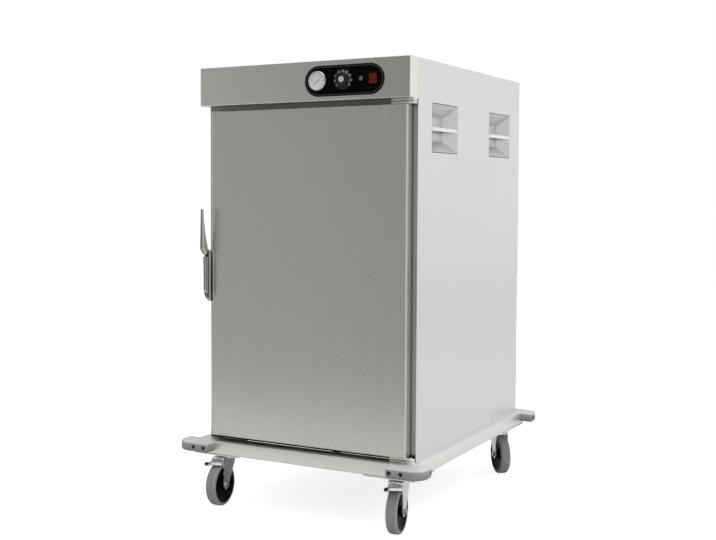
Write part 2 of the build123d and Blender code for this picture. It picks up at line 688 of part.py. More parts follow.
def cavity_liner():
    """Inner box, open at the front, welded from five sheets."""
    y0, y1 = FACE_Y + PAN_SHEET, CAVITY_BACK
    t = LINER_SHEET
    side = block(CAVITY_X, CAVITY_X + t, y0, y1 + t, CAVITY_Z - t, CAVITY_TOP + t)
    return [side, mirrored_x(side),
            block(-CAVITY_X, CAVITY_X, y0, y1 + t, CAVITY_Z - t, CAVITY_Z),
            block(-CAVITY_X, CAVITY_X, y0, y1 + t, CAVITY_TOP, CAVITY_TOP + t),
            block(-CAVITY_X, CAVITY_X, y1, y1 + t, CAVITY_Z, CAVITY_TOP)]


def insulation():
    """Slabs of mineral wool between the liner and the outer sheets."""
    t = LINER_SHEET
    wall_x = CAVITY_X + t
    skin_x = HALF_WIDTH - OUTER_SHEET
    y0 = FACE_Y + PAN_SHEET
    y1 = BACK_Y - OUTER_SHEET
    z0 = BASE_Z + PAN_SHEET
    side = block(wall_x, skin_x, y0, y1, z0, INSULATION_TOP)
    for y in grip_centres():
        gap = GRIP_POCKET_GAP
        pocket_z = GRIP_Z + GRIP_HEIGHT / 2 + gap
        side -= block(HALF_WIDTH - GRIP_DEPTH - gap, skin_x, y - GRIP_LENGTH / 2 - gap,
                      y + GRIP_LENGTH / 2 + gap, GRIP_Z - GRIP_HEIGHT / 2 - gap, pocket_z)
    return [side, mirrored_x(side),
            block(-wall_x, wall_x, y0, y1, z0, CAVITY_Z - t),
            block(-wall_x, wall_x, y0, y1, CAVITY_TOP + t, INSULATION_TOP),
            block(-wall_x, wall_x, CAVITY_BACK + t, y1, CAVITY_Z - t, CAVITY_TOP + t)]


# Inside the cavity

def tray_racks():
    """Two uprights a side, each side carrying a ladder of angle ledges."""
    pieces = []
    thickness, width = RACK_UPRIGHT
    inner_x = CAVITY_X - thickness
    for y0 in (FACE_Y + RACK_UPRIGHT_FROM_FACE, CAVITY_BACK - RACK_UPRIGHT_FROM_BACK - width):
        upright = block(inner_x, CAVITY_X, y0, y0 + width, CAVITY_Z, CAVITY_TOP)
        pieces += [upright, mirrored_x(upright)]
    y0, y1 = FACE_Y + LEDGE_FROM_FACE, CAVITY_BACK - LEDGE_FROM_BACK
    first = CAVITY_Z + LEDGE_FIRST_UP
    steps = int((CAVITY_TOP - LEDGE_HEADROOM - first) // LEDGE_PITCH)
    for level in range(steps + 1):
        z = first + level * LEDGE_PITCH
        ledge = block(inner_x - LEDGE_FLANGE, inner_x, y0, y1, z, z + LEDGE_SHEET)
        ledge += block(inner_x - LEDGE_SHEET, inner_x, y0, y1, z, z + LEDGE_LIP)
        pieces += [ledge, mirrored_x(ledge)]
    return pieces


def heater_route():
    """The heater's centre line: four runs and three bends, ending at the rear flange."""
    near, far = HEATER_RUN_X
    back = CAVITY_BACK - HEATER_FLANGE[2]
    front = FACE_Y + HEATER_FROM_FACE
    loop = CAVITY_BACK - HEATER_LOOP_FROM_BACK
    z = CAVITY_Z + HEATER_UP
    points = [(-far, back), (-far, front), (-near, front), (-near, loop),
              (near, loop), (near, front), (far, front), (far, back)]
    return FilletPolyline(*[(x, y, z) for x, y in points], radius=HEATER_BEND_R)


def heating_element():
    """Tubular heater bent into a serpentine over the cavity's floor."""
    route = heater_route()
    start = Plane(origin=route @ 0, z_dir=route % 0)
    return sweep(start * Circle(HEATER_R), path=route)


def element_brackets():
    """Cross brackets that hold the heater up and carry the water pan, and the rear flange."""
    pieces = []
    z = CAVITY_Z + HEATER_UP
    near, far = HEATER_RUN_X
    for from_face in BRACKET_FROM_FACE:
        y = FACE_Y + from_face
        half = BRACKET_WIDTH / 2
        web = block(-half, half, y, y + BRACKET_SHEET, CAVITY_Z, CAVITY_Z + BRACKET_HEIGHT)
        foot = block(-half, half, y, y + BRACKET_FOOT, CAVITY_Z, CAVITY_Z + BRACKET_SHEET)
        shelf = Pos(0, 0, BRACKET_HEIGHT - BRACKET_SHEET) * foot
        bracket = web + foot + shelf
        for x in (-far, -near, near, far):
            bracket -= rod_y(HEATER_R + RUNNING_FIT, y, y + BRACKET_SHEET, x, z)
        pieces.append(bracket)
    width, height, thickness = HEATER_FLANGE
    pieces.append(block(-width / 2, width / 2, CAVITY_BACK - thickness, CAVITY_BACK,
                        z - height / 2, z + height / 2))
    return pieces


def water_pan():
    """Open pan with a turned-out rim, standing on the brackets."""
    width, length, height = WATER_PAN
    z0 = CAVITY_Z + BRACKET_HEIGHT
    y0 = FACE_Y + (sum(BRACKET_FROM_FACE) + BRACKET_FOOT - length) / 2
    t = WATER_PAN_SHEET
    shell = block(-width / 2, width / 2, y0, y0 + length, z0, z0 + height)
    rim = block(-width / 2 - WATER_PAN_RIM, width / 2 + WATER_PAN_RIM, y0 - WATER_PAN_RIM,
                y0 + length + WATER_PAN_RIM, z0 + height - t, z0 + height)
    hollow = block(-width / 2 + t, width / 2 - t, y0 + t, y0 + length - t, z0 + t, z0 + height)
    return shell + rim - hollow


# Door

def door_outer_skin():
    """Folded front sheet with returns on all four sides and softened front edges."""
    t = DOOR_SHEET
    shell = block(DOOR_LEFT, DOOR_RIGHT, DOOR_FRONT, DOOR_BACK, DOOR_BOTTOM, DOOR_TOP)
    front = shell.faces().sort_by(Axis.Y)[0]
    shell = fillet(front.edges(), DOOR_EDGE_R)
    hollow = block(DOOR_LEFT + t, DOOR_RIGHT - t, DOOR_FRONT + t, DOOR_BACK, DOOR_BOTTOM + t, DOOR_TOP - t)
    front = hollow.faces().sort_by(Axis.Y)[0]
    hollow = fillet(front.edges(), DOOR_EDGE_R - t)
    return shell - hollow


def door_inner_skin():
    """Flat inner sheet set inside the outer skin's returns."""
    t = DOOR_SHEET
    return block(DOOR_LEFT + t, DOOR_RIGHT - t, DOOR_BACK - t, DOOR_BACK, DOOR_BOTTOM + t, DOOR_TOP - t)


def door_insulation():
    """Slab that fills the door."""
    t = DOOR_SHEET
    slab = block(DOOR_LEFT + t, DOOR_RIGHT - t, DOOR_FRONT + t, DOOR_BACK - t,
                 DOOR_BOTTOM + t, DOOR_TOP - t)
    front = slab.faces().sort_by(Axis.Y)[0]
    return fillet(front.edges(), DOOR_EDGE_R - t)


def door_gasket():
    """Soft seal round the back of the door, just clear of the face frame."""
    inset = GASKET_INSET
    wide = inset + GASKET_WIDTH
    y0, y1 = DOOR_BACK, FACE_Y - SEAL_GAP
    ring = block(DOOR_LEFT + inset, DOOR_RIGHT - inset, y0, y1, DOOR_BOTTOM + inset, DOOR_TOP - inset)
    return ring - block(DOOR_LEFT + wide, DOOR_RIGHT - wide, y0, y1, DOOR_BOTTOM + wide, DOOR_TOP - wide)


def hinge_plate(z0, z1):
    """One plate of a hinge, with the round barrel at its outer end."""
    half = HINGE_PLATE_DEPTH / 2
    plate = block(HINGE_X - HINGE_PLATE_LENGTH, HINGE_X, HINGE_Y - half, HINGE_Y + half, z0, z1)
    return plate + rod_z(HINGE_BARREL_R, z0, z1, HINGE_X, HINGE_Y)


def hinge_split(low, high):
    """Where the two plates of a hinge part: the low plate's top and the high plate's bottom."""
    middle = (low + high) / 2
    return middle - HINGE_GAP / 2, middle + HINGE_GAP / 2


def door_hinge_leaves():
    """The door's own plates: one over the bottom bracket, one under the top bracket."""
    bore_r = HINGE_PIN_R + RUNNING_FIT
    _, low_bottom = hinge_split(BASE_Z, DOOR_BOTTOM)
    high_top, _ = hinge_split(DOOR_TOP, HOOD_Z)
    leaves = []
    for z0, z1 in ((low_bottom, DOOR_BOTTOM), (DOOR_TOP, high_top)):
        leaves.append(hinge_plate(z0, z1) - rod_z(bore_r, z0, z1, HINGE_X, HINGE_Y))
    return leaves


def frame_hinge_brackets():
    """Fixed plates on the chassis and under the hood, each with its pin."""
    low_top, _ = hinge_split(BASE_Z, DOOR_BOTTOM)
    _, high_bottom = hinge_split(DOOR_TOP, HOOD_Z)
    low = hinge_plate(BASE_Z, low_top)
    low += rod_z(HINGE_PIN_R, low_top, low_top + HINGE_PIN_REACH, HINGE_X, HINGE_Y)
    high = hinge_plate(high_bottom, HOOD_Z)
    high += rod_z(HINGE_PIN_R, high_bottom - HINGE_PIN_REACH, high_bottom, HINGE_X, HINGE_Y)
    return [low, high]


# Latch, in terms of how far a point stands proud of the door's front

def proud(distance):
    """The y of a point that stands this far in front of the door."""
    return DOOR_FRONT - distance


def latch_sides():
    """The latch's left and right sides, against the door's edge."""
    return DOOR_LEFT - LATCH_WIDTH, DOOR_LEFT


def latch_outline(points, close=True):
    """Straight lines through (proud, z) points."""
    return Polyline(*[(proud(p), z) for p, z in points], close=close)


def latch_section(points, x0, x1):
    """A prism across the latch, from the points of its outline."""
    return Pos(x0, 0, 0) * extrude(Plane.YZ * make_face(latch_outline(points)), x1 - x0)


def latch_inner_sides():
    """The sides of the lever's hub and tail, between the housing's ears."""
    x0, x1 = latch_sides()
    return x0 + EAR_THICKNESS + LEVER_SIDE_GAP, x1 - EAR_THICKNESS - LEVER_SIDE_GAP


def lever_pivot():
    """The y and z of the lever's pin."""
    return proud(LEVER_PIVOT_PROUD), LEVER_PIVOT_Z


def plunger_ends():
    """The plunger's front end, just behind the lever's tail, and its rear end."""
    front = proud(LEVER_TAIL_PROUD) + PLUNGER_TAIL_GAP
    return front, FACE_Y - STRIKE_THICKNESS - STRIKE_GAP - PLUNGER_TRAVEL


def latch_body():
    """Cast housing on the door's edge, with two ears and the pin for the lever."""
    x0, x1 = latch_sides()
    back = -DOOR_THICKNESS
    nose_top = (proud(LATCH_PROUD), LATCH_STRAIGHT_Z)
    nose_end = (proud(0), LATCH_Z)
    sides = latch_outline([
        (0, LATCH_Z), (back, LATCH_Z), (back, LATCH_BACK_TOP_Z),
        (-LATCH_BACK_SET, LATCH_BACK_TOP_Z), (-LATCH_BACK_SET, LATCH_TOP_Z), (LATCH_PROUD, LATCH_TOP_Z),
        (LATCH_PROUD, LATCH_STRAIGHT_Z)], close=False)
    nose = TangentArc(nose_top, nose_end, tangent=(0, -1))
    body = Pos(x0, 0, 0) * extrude(Plane.YZ * make_face(sides + nose), x1 - x0)
    ear_top = LEVER_PIVOT_Z + EAR_RISE
    ear_front = LEVER_PIVOT_PROUD + EAR_RISE
    ear = [(EAR_BACK_PROUD, LATCH_TOP_Z), (ear_front, LATCH_TOP_Z), (ear_front, LEVER_PIVOT_Z),
           (LEVER_PIVOT_PROUD + EAR_RISE / 2, ear_top), (EAR_BACK_PROUD, ear_top)]
    body += latch_section(ear, x0, x0 + EAR_THICKNESS)
    body += latch_section(ear, x1 - EAR_THICKNESS, x1)
    slot = block(x0 + EAR_THICKNESS, x1 - EAR_THICKNESS, proud(LEVER_PIVOT_PROUD + EAR_RISE / 2),
                 proud(-LATCH_SLOT_BACK), LATCH_TOP_Z - LATCH_SLOT_BOTTOM, LATCH_BACK_TOP_Z)
    body -= slot
    body += rod_x(LEVER_PIN_R, x0, x1, *lever_pivot())
    middle = (x0 + x1) / 2
    body -= block(middle - MAGNET_WIDTH / 2, middle + MAGNET_WIDTH / 2, DOOR_BACK - MAGNET_DEPTH,
                  DOOR_BACK, MAGNET_Z, MAGNET_Z + MAGNET_HEIGHT)
    return body - rod_y(PLUNGER_R + RUNNING_FIT, proud(0), DOOR_BACK, middle, PLUNGER_Z)


def latch_lever():
    """Flared pull lever on the pin between the housing's ears, with a tail behind the pin. Its blade
    is hollowed behind for the fingers and narrows towards its tip."""
    x0, x1 = latch_sides()
    inner = latch_inner_sides()
    hub = rod_x(LEVER_HUB_R, *inner, *lever_pivot())
    tail_front = LEVER_TAIL_PROUD + LEVER_TAIL_THICKNESS
    tail_bottom = LEVER_PIVOT_Z - LEVER_TAIL_DROP
    tail = latch_section([(LEVER_TAIL_PROUD, tail_bottom), (tail_front, tail_bottom),
                          (tail_front, LEVER_PIVOT_Z), (LEVER_TAIL_PROUD, LEVER_PIVOT_Z)], *inner)
    root = latch_section([(LEVER_PIVOT_PROUD, LEVER_CHIN_Z), (LEVER_CHIN_PROUD, LEVER_CHIN_Z),
                          (LEVER_TIP_PROUD, LEVER_THROAT_Z), (LEVER_THROAT_PROUD, LEVER_THROAT_Z),
                          (LEVER_PIVOT_PROUD, LEVER_PIVOT_Z + LEVER_HUB_R)], *inner)
    front = latch_outline([(LEVER_THROAT_PROUD, LEVER_THROAT_Z), (LEVER_CHIN_PROUD, LEVER_CHIN_Z),
                           (LEVER_FRONT_PROUD, LEVER_THROAT_Z), (LEVER_FRONT_PROUD, LEVER_TOP_Z),
                           (LEVER_TIP_PROUD, LEVER_TOP_Z)], close=False)
    back = ThreePointArc(front @ 0, (proud(LEVER_WAIST_PROUD), LEVER_WAIST_Z), front @ 1)
    blade = Pos(x0, 0, 0) * extrude(Plane.YZ * make_face(front + back), x1 - x0)
    middle = (x0 + x1) / 2
    half, half_tip = LATCH_WIDTH / 2, LEVER_TIP_WIDTH / 2
    taper = Polyline((-half, LEVER_CHIN_Z), (half, LEVER_CHIN_Z), (half, LEVER_THROAT_Z),
                     (half_tip, LEVER_TOP_Z), (-half_tip, LEVER_TOP_Z), (-half, LEVER_THROAT_Z), close=True)
    reach = LEVER_FRONT_PROUD - LEVER_THROAT_PROUD
    width = extrude(Plane.XZ * make_face(taper), reach, both=True)
    blade &= Pos(middle, proud(LEVER_THROAT_PROUD), 0) * width
    blade = fillet(blade.faces().sort_by(Axis.Y)[0].edges(), LEVER_FRONT_R)
    return hub + tail + root + blade - rod_x(LEVER_PIN_R + RUNNING_FIT, x0, x1, *lever_pivot())


def latch_magnet():
    """Magnet let into the back of the housing, facing the strike plate."""
    middle = sum(latch_sides()) / 2
    return block(middle - MAGNET_WIDTH / 2, middle + MAGNET_WIDTH / 2, DOOR_BACK - MAGNET_DEPTH,
                 FACE_Y - STRIKE_THICKNESS - STRIKE_GAP, MAGNET_Z, MAGNET_Z + MAGNET_HEIGHT)


def latch_plunger():
    """Release pin that the lever's tail drives back against the strike plate."""
    return rod_y(PLUNGER_R, *plunger_ends(), sum(latch_sides()) / 2, PLUNGER_Z)


def latch_strike():
    """Steel plate on the face frame that the magnet holds."""
    middle = sum(latch_sides()) / 2
    z0 = LATCH_Z + STRIKE_BOTTOM
    return block(middle - STRIKE_WIDTH / 2, middle + STRIKE_WIDTH / 2, FACE_Y - STRIKE_THICKNESS,
                 FACE_Y, z0, z0 + STRIKE_HEIGHT)


# Controls

def control_hood():
    """Box-shaped hood above the door, open at the back, holed for the controls."""
    t = OUTER_SHEET
    shell = block(-HALF_WIDTH, HALF_WIDTH, HOOD_FRONT, FACE_Y, HOOD_Z, TOP_Z)
    front = shell.faces().sort_by(Axis.Y)[0]
    shell = fillet(front.edges(), HOOD_EDGE_R)
    inside = block(-HALF_WIDTH + t, HALF_WIDTH - t, HOOD_FRONT + t, FACE_Y, HOOD_Z + t, TOP_Z - t)
    front = inside.faces().sort_by(Axis.Y)[0]
    shell -= fillet(front.edges(), HOOD_EDGE_R - t)
    return shell - control_holes(HOOD_FRONT, HOOD_FRONT + t)


def control_holes(y0, y1):
    """What the controls' bodies and bushes need through a sheet."""
    width, height = SWITCH_BODY_WIDTH / 2, SWITCH_BODY_HEIGHT / 2
    return [rod_y(THERMO_CASE_R, y0, y1, THERMO_MIDDLE, CONTROL_Z),
            rod_y(STAT_BUSH_R, y0, y1, STAT_MIDDLE, CONTROL_Z),
            rod_y(LAMP_BODY_R, y0, y1, LAMP_MIDDLE, CONTROL_Z),
            block(SWITCH_MIDDLE - width, SWITCH_MIDDLE + width, y0, y1,
                  CONTROL_Z - height, CONTROL_Z + height)]


def control_plate():
    """Black plate with fully rounded ends behind the controls."""
    outline = SlotOverall(PANEL_WIDTH, PANEL_HEIGHT)
    plate = extrude(outline, PANEL_THICKNESS)
    plate = Pos(PANEL_MIDDLE, HOOD_FRONT, PANEL_Z) * Rot(90, 0, 0) * plate
    return plate - control_holes(PANEL_FRONT, HOOD_FRONT)


def thermometer_case():
    """Cup with a broad bezel, let in through the hood."""
    case = rod_y(THERMO_CASE_R, PANEL_FRONT, PANEL_FRONT + THERMO_CASE_DEPTH, THERMO_MIDDLE, CONTROL_Z)
    bezel = rod_y(THERMO_BEZEL_R, PANEL_FRONT - THERMO_BEZEL, PANEL_FRONT, THERMO_MIDDLE, CONTROL_Z)
    rim = bezel.edges().group_by(Axis.Y)[0]
    bezel = fillet(rim, THERMO_GLASS)
    front = PANEL_FRONT - THERMO_BEZEL
    case = case + bezel - rod_y(THERMO_BORE_R, front, front + THERMO_BORE_DEPTH, THERMO_MIDDLE, CONTROL_Z)
    floor = front + THERMO_BORE_DEPTH
    arbor_r = POINTER_ARBOR_R + RUNNING_FIT
    return case - rod_y(arbor_r, floor, floor + POINTER_ARBOR, THERMO_MIDDLE, CONTROL_Z)


def thermometer_dial():
    """Printed disc on the floor of the case."""
    floor = PANEL_FRONT - THERMO_BEZEL + THERMO_BORE_DEPTH
    disc = rod_y(THERMO_BORE_R, floor - THERMO_DIAL, floor, THERMO_MIDDLE, CONTROL_Z)
    return disc - rod_y(POINTER_ARBOR_R + RUNNING_FIT, floor - THERMO_DIAL, floor, THERMO_MIDDLE, CONTROL_Z)


def thermometer_glass():
    """Flat window in the bezel."""
    front = PANEL_FRONT - THERMO_BEZEL + THERMO_GLASS_INSET
    return rod_y(THERMO_BORE_R, front, front + THERMO_GLASS, THERMO_MIDDLE, CONTROL_Z)


def thermometer_pointer():
    """Needle on its arbor, pointing down to the left at rest."""
    floor = PANEL_FRONT - THERMO_BEZEL + THERMO_BORE_DEPTH
    y1 = floor - THERMO_DIAL - THRUST_GAP
    y0 = y1 - POINTER_SHEET
    needle = block(-POINTER_WIDTH / 2, POINTER_WIDTH / 2, y0, y1, -POINTER_TAIL, POINTER_LENGTH)
    needle = Pos(THERMO_MIDDLE, 0, CONTROL_Z) * Rot(0, POINTER_REST, 0) * needle
    hub = rod_y(POINTER_HUB_R, y0 - POINTER_SHEET, y1, THERMO_MIDDLE, CONTROL_Z)
    arbor_end = floor + POINTER_ARBOR - THRUST_GAP
    return needle + hub + rod_y(POINTER_ARBOR_R, y1, arbor_end, THERMO_MIDDLE, CONTROL_Z)


def thermostat_body():
    """Thermostat behind the hood, its threaded bush through the hood and the plate."""
    y0 = HOOD_FRONT + OUTER_SHEET
    half = STAT_BODY / 2
    body = block(STAT_MIDDLE - half, STAT_MIDDLE + half, y0, y0 + STAT_DEPTH,
                 CONTROL_Z - half, CONTROL_Z + half)
    body += rod_y(STAT_BUSH_R, PANEL_FRONT, y0, STAT_MIDDLE, CONTROL_Z)
    return body - rod_y(STAT_SHAFT_R + RUNNING_FIT, PANEL_FRONT, y0 + STAT_DEPTH / 2, STAT_MIDDLE, CONTROL_Z)


def thermostat_knob():
    """Knob with a skirt and a raised grip, pressed on the shaft, and a bright cap."""
    back = PANEL_FRONT - KNOB_GAP
    front = back - KNOB_HEIGHT
    skirt = rod_y(KNOB_SKIRT_R, back - KNOB_SKIRT, back, STAT_MIDDLE, CONTROL_Z)
    grip = rod_y(KNOB_R, front, back - KNOB_SKIRT, STAT_MIDDLE, CONTROL_Z)
    grip = fillet(grip.edges().group_by(Axis.Y)[0], KNOB_EDGE_R)
    for turn in range(KNOB_FLUTES):
        angle = math.radians(360 / KNOB_FLUTES * turn)
        x = STAT_MIDDLE + (KNOB_R + KNOB_FLUTE_R / 2) * math.cos(angle)
        z = CONTROL_Z + (KNOB_R + KNOB_FLUTE_R / 2) * math.sin(angle)
        grip -= rod_y(KNOB_FLUTE_R, front, back - KNOB_SKIRT, x, z)
    shaft_end = HOOD_FRONT + OUTER_SHEET + STAT_DEPTH / 2 - THRUST_GAP
    shaft = rod_y(STAT_SHAFT_R, back, shaft_end, STAT_MIDDLE, CONTROL_Z)
    cap = rod_y(KNOB_CAP_R, front - KNOB_CAP, front, STAT_MIDDLE, CONTROL_Z)
    return skirt + grip + shaft + cap


def pilot_lamp():
    """Lamp body through the hood, with a bezel and a domed lens."""
    y0 = PANEL_FRONT - LAMP_BEZEL
    body = rod_y(LAMP_BODY_R, PANEL_FRONT, PANEL_FRONT + LAMP_DEPTH, LAMP_MIDDLE, CONTROL_Z)
    bezel = rod_y(LAMP_R, y0, PANEL_FRONT, LAMP_MIDDLE, CONTROL_Z)
    bezel = chamfer(bezel.edges().group_by(Axis.Y)[0], LAMP_BEZEL_EDGE)
    lens = rod_y(LAMP_LENS_R, y0 - LAMP_LENS, y0, LAMP_MIDDLE, CONTROL_Z)
    lens = fillet(lens.edges().group_by(Axis.Y)[0], LAMP_LENS_EDGE_R)
    return body + bezel + lens


def switch_frame():
    """Switch housing with a rim and a pocket for the rocker."""
    def around(width, height, y0, y1):
        return block(SWITCH_MIDDLE - width / 2, SWITCH_MIDDLE + width / 2, y0, y1,
                     CONTROL_Z - height / 2, CONTROL_Z + height / 2)

    body = around(SWITCH_BODY_WIDTH, SWITCH_BODY_HEIGHT, PANEL_FRONT, PANEL_FRONT + SWITCH_DEPTH)
    body += around(SWITCH_WIDTH, SWITCH_HEIGHT, PANEL_FRONT - SWITCH_RIM, PANEL_FRONT)
    pocket = around(SWITCH_WIDTH - 2 * SWITCH_RIM_WALL, SWITCH_HEIGHT - 2 * SWITCH_RIM_WALL,
                    PANEL_FRONT - SWITCH_RIM, PANEL_FRONT - SWITCH_RIM + SWITCH_POCKET)
    half = SWITCH_WIDTH / 2 - SWITCH_RIM_WALL + ROCKER_PIN_LENGTH
    pin_hole = rod_x(ROCKER_PIN_R + RUNNING_FIT, SWITCH_MIDDLE - half, SWITCH_MIDDLE + half,
                     PANEL_FRONT + ROCKER_PIVOT_BEHIND, CONTROL_Z)
    return body - pocket - pin_hole


def switch_rocker():
    """Rocker with a shallow V face, tipped to one side at rest."""
    half_width = SWITCH_WIDTH / 2 - SWITCH_RIM_WALL - ROCKER_SIDE_GAP
    half_height = SWITCH_HEIGHT / 2 - SWITCH_RIM_WALL - ROCKER_END_GAP
    front = -ROCKER_PIVOT_BEHIND - SWITCH_RIM
    outline = Polyline((front, 0), (front - ROCKER_RISE / 2, half_height),
                       (ROCKER_HALF_THICKNESS - ROCKER_RISE, half_height),
                       (ROCKER_HALF_THICKNESS, 0),
                       (ROCKER_HALF_THICKNESS - ROCKER_RISE, -half_height),
                       (front - ROCKER_RISE / 2, -half_height), close=True)
    body = Pos(-half_width, 0, 0) * extrude(Plane.YZ * make_face(outline), 2 * half_width)
    pin = half_width + ROCKER_SIDE_GAP + ROCKER_PIN_LENGTH - THRUST_GAP
    body += rod_x(ROCKER_PIN_R, -pin, pin, 0, 0)
    return Pos(SWITCH_MIDDLE, PANEL_FRONT + ROCKER_PIVOT_BEHIND, CONTROL_Z) * Rot(ROCKER_TILT, 0, 0) * body


def power_inlet():
    """Flanged appliance inlet let into the back panel, with three blades."""
    z = HOOD_Z + INLET_Z_UP

    def around(size, y0, y1):
        return block(INLET_X - size[0] / 2, INLET_X + size[0] / 2, y0, y1, z - size[1] / 2, z + size[1] / 2)

    front = BACK_Y + INLET_FLANGE[2]
    inlet = around(INLET_BODY, front - INLET_BODY[2], front) + around(INLET_FLANGE, BACK_Y, front)
    floor = front - INLET_POCKET[2]
    inlet -= around(INLET_POCKET, floor, front)
    thickness, height, length = INLET_BLADE
    for step in (-1, 0, 1):
        x = INLET_X + step * INLET_BLADE_PITCH / 2
        drop = -INLET_BLADE[1] / 2 if step == 0 else 0
        inlet += block(x - thickness / 2, x + thickness / 2, floor, floor + length,
                       z + drop - height / 2, z + drop + height / 2)
    return inlet


def build():
    """Write every node."""
    os.makedirs("parts", exist_ok=True)
    save(chassis_frame(), "chassis_frame")
    save(four_corners(corner_bumper()), "corner_bumpers")
    save(bumper_screws(), "bumper_screws")
    save([Pos(x, y, 0) * caster_plate() for _, x, y, _ in caster_places()], "caster_plates")
    save(caster_bolts(), "caster_bolts")
    for name, x, y, swivel in caster_places():
        place = Pos(x, y, 0) * Rot(0, 0, swivel)
        braked = name.startswith("front")
        save(place * fork(braked), "fork_" + name)
        save(place * axle(), "axle_" + name)
        save(place * wheel_hub(), "hub_" + name)
        save(place * tyre(), "tyre_" + name)
        if braked:
            save(place * brake_pedal(), "brake_pedal_" + name)
    save(side_panel(), "right_side_panel")
    save(mirrored_x(side_panel()), "left_side_panel")
    pieces = {
        "top_panel": top_panel, "bottom_pan": bottom_pan, "back_panel": back_panel,
        "face_frame": face_frame, "cavity_liner": cavity_liner, "insulation": insulation,
        "grip_dishes": grip_dishes, "grip_bars": grip_bars, "tray_racks": tray_racks,
        "heating_element": heating_element, "element_brackets": element_brackets,
        "water_pan": water_pan, "door_outer_skin": door_outer_skin,
        "door_inner_skin": door_inner_skin, "door_insulation": door_insulation,
        "door_gasket": door_gasket, "door_hinge_leaves": door_hinge_leaves,
        "frame_hinge_brackets": frame_hinge_brackets, "latch_body": latch_body,
        "latch_lever": latch_lever, "latch_magnet": latch_magnet, "latch_plunger": latch_plunger,
        "latch_strike": latch_strike, "control_hood": control_hood, "control_plate": control_plate,
        "thermometer_case": thermometer_case, "thermometer_dial": thermometer_dial,
        "thermometer_glass": thermometer_glass, "thermometer_pointer": thermometer_pointer,
        "thermostat_body": thermostat_body, "thermostat_knob": thermostat_knob,
        "pilot_lamp": pilot_lamp, "switch_frame": switch_frame, "switch_rocker": switch_rocker,
        "power_inlet": power_inlet,
    }
    for name, make in pieces.items():
        save(make(), name)


build()
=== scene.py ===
import json
import math

import bmesh
import bpy
import numpy as np
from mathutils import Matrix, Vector


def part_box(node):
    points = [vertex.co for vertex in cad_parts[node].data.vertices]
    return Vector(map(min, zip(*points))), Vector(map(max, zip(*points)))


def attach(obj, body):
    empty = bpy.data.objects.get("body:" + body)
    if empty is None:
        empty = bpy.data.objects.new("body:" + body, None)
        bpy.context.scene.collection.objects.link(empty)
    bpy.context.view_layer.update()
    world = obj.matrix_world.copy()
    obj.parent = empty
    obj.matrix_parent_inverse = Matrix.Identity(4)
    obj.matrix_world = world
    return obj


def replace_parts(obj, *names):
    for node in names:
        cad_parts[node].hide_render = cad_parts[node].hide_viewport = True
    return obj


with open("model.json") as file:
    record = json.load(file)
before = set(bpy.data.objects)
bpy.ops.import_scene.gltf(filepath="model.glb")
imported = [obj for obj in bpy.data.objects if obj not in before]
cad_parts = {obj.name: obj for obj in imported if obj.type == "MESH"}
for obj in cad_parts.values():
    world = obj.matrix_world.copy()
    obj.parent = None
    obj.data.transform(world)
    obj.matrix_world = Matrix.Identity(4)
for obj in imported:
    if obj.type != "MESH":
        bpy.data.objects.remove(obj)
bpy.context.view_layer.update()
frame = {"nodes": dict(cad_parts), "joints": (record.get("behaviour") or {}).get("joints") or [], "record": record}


# Camera: to the right of the door, below the roof's height and looking slightly down. Place, lens
# and shift were fitted to the cabinet's corners and wheels in the 716 by 540 picture, where the
# cabinet stands right of the lens's axis.
CAMERA_PLACE = (1.5450, -3.2873, 0.9247)
CAMERA_YAW = math.radians(30.914)
CAMERA_PITCH = math.radians(2.903)
CAMERA_LENS = 58.183
CAMERA_SENSOR = 36.0
CAMERA_SHIFT = (0.1459, -0.0266)


def link(thing):
    """Put a new object in the scene."""
    bpy.context.scene.collection.objects.link(thing)
    return thing


camera_data = bpy.data.cameras.new("camera")
camera_data.sensor_width = CAMERA_SENSOR
camera_data.lens = CAMERA_LENS
camera_data.shift_x, camera_data.shift_y = CAMERA_SHIFT
camera = link(bpy.data.objects.new("camera", camera_data))
camera.location = CAMERA_PLACE
camera.rotation_euler = (math.pi / 2 - CAMERA_PITCH, 0, CAMERA_YAW)
bpy.context.scene.camera = camera
bpy.context.scene.view_settings.view_transform = "Standard"


# Studio: a room that the camera sees white. What lights and mirrors is bright on the right and
# behind, and grey in front, where the door looks. A large soft lamp overhead, a smaller one on the
# left, and a floor that turns white away from the cabinet.
ROOM_BRIGHT_WAY = (0.80, 0.56, 0.21)
ROOM_LEVELS = ((0.0, 0.50), (0.055, 0.485), (0.068, 0.45), (0.088, 0.365), (0.14, 0.365),
               (0.30, 0.46), (0.55, 0.62), (0.80, 0.84), (1.0, 0.97))
LAMPS = {
    "overhead": {"place": (0.9, -1.1, 4.2), "aim": (0, 0, 0.6), "size": 3.2, "power": 80},
    "left": {"place": (-3.4, -0.2, 1.6), "aim": (0, 0, 0.7), "size": 1.6, "power": 12},
}
FLOOR_SIDE = 9.0
FLOOR_FRONT = -1.75
FLOOR_COLOUR = (0.80, 0.80, 0.795, 1)
FLOOR_NEAR, FLOOR_FAR = 0.7, 2.4
SEEN_LIFT = (0.78, 1.0)
MIRRORED_LIFT = (0.0, 0.16)


def shader(tree, kind, inputs=None, **settings):
    """A shader node, with its settings made and its inputs set to numbers, colours or outputs."""
    node = tree.nodes.new("ShaderNode" + kind)
    for key, value in settings.items():
        setattr(node, key, value)
    for key, value in (inputs or {}).items():
        if isinstance(value, bpy.types.NodeSocket):
            tree.links.new(value, node.inputs[key])
        else:
            node.inputs[key].default_value = value
    return node


def colour_stops(ramp, stops):
    """Set a colour ramp's stops: a place along it, and a grey level or a colour for each."""
    while len(ramp.color_ramp.elements) < len(stops):
        ramp.color_ramp.elements.new(1.0)
    for element, (at, level) in zip(ramp.color_ramp.elements, stops):
        element.position = at
        element.color = (level, level, level, 1) if isinstance(level, float) else (*level, 1)


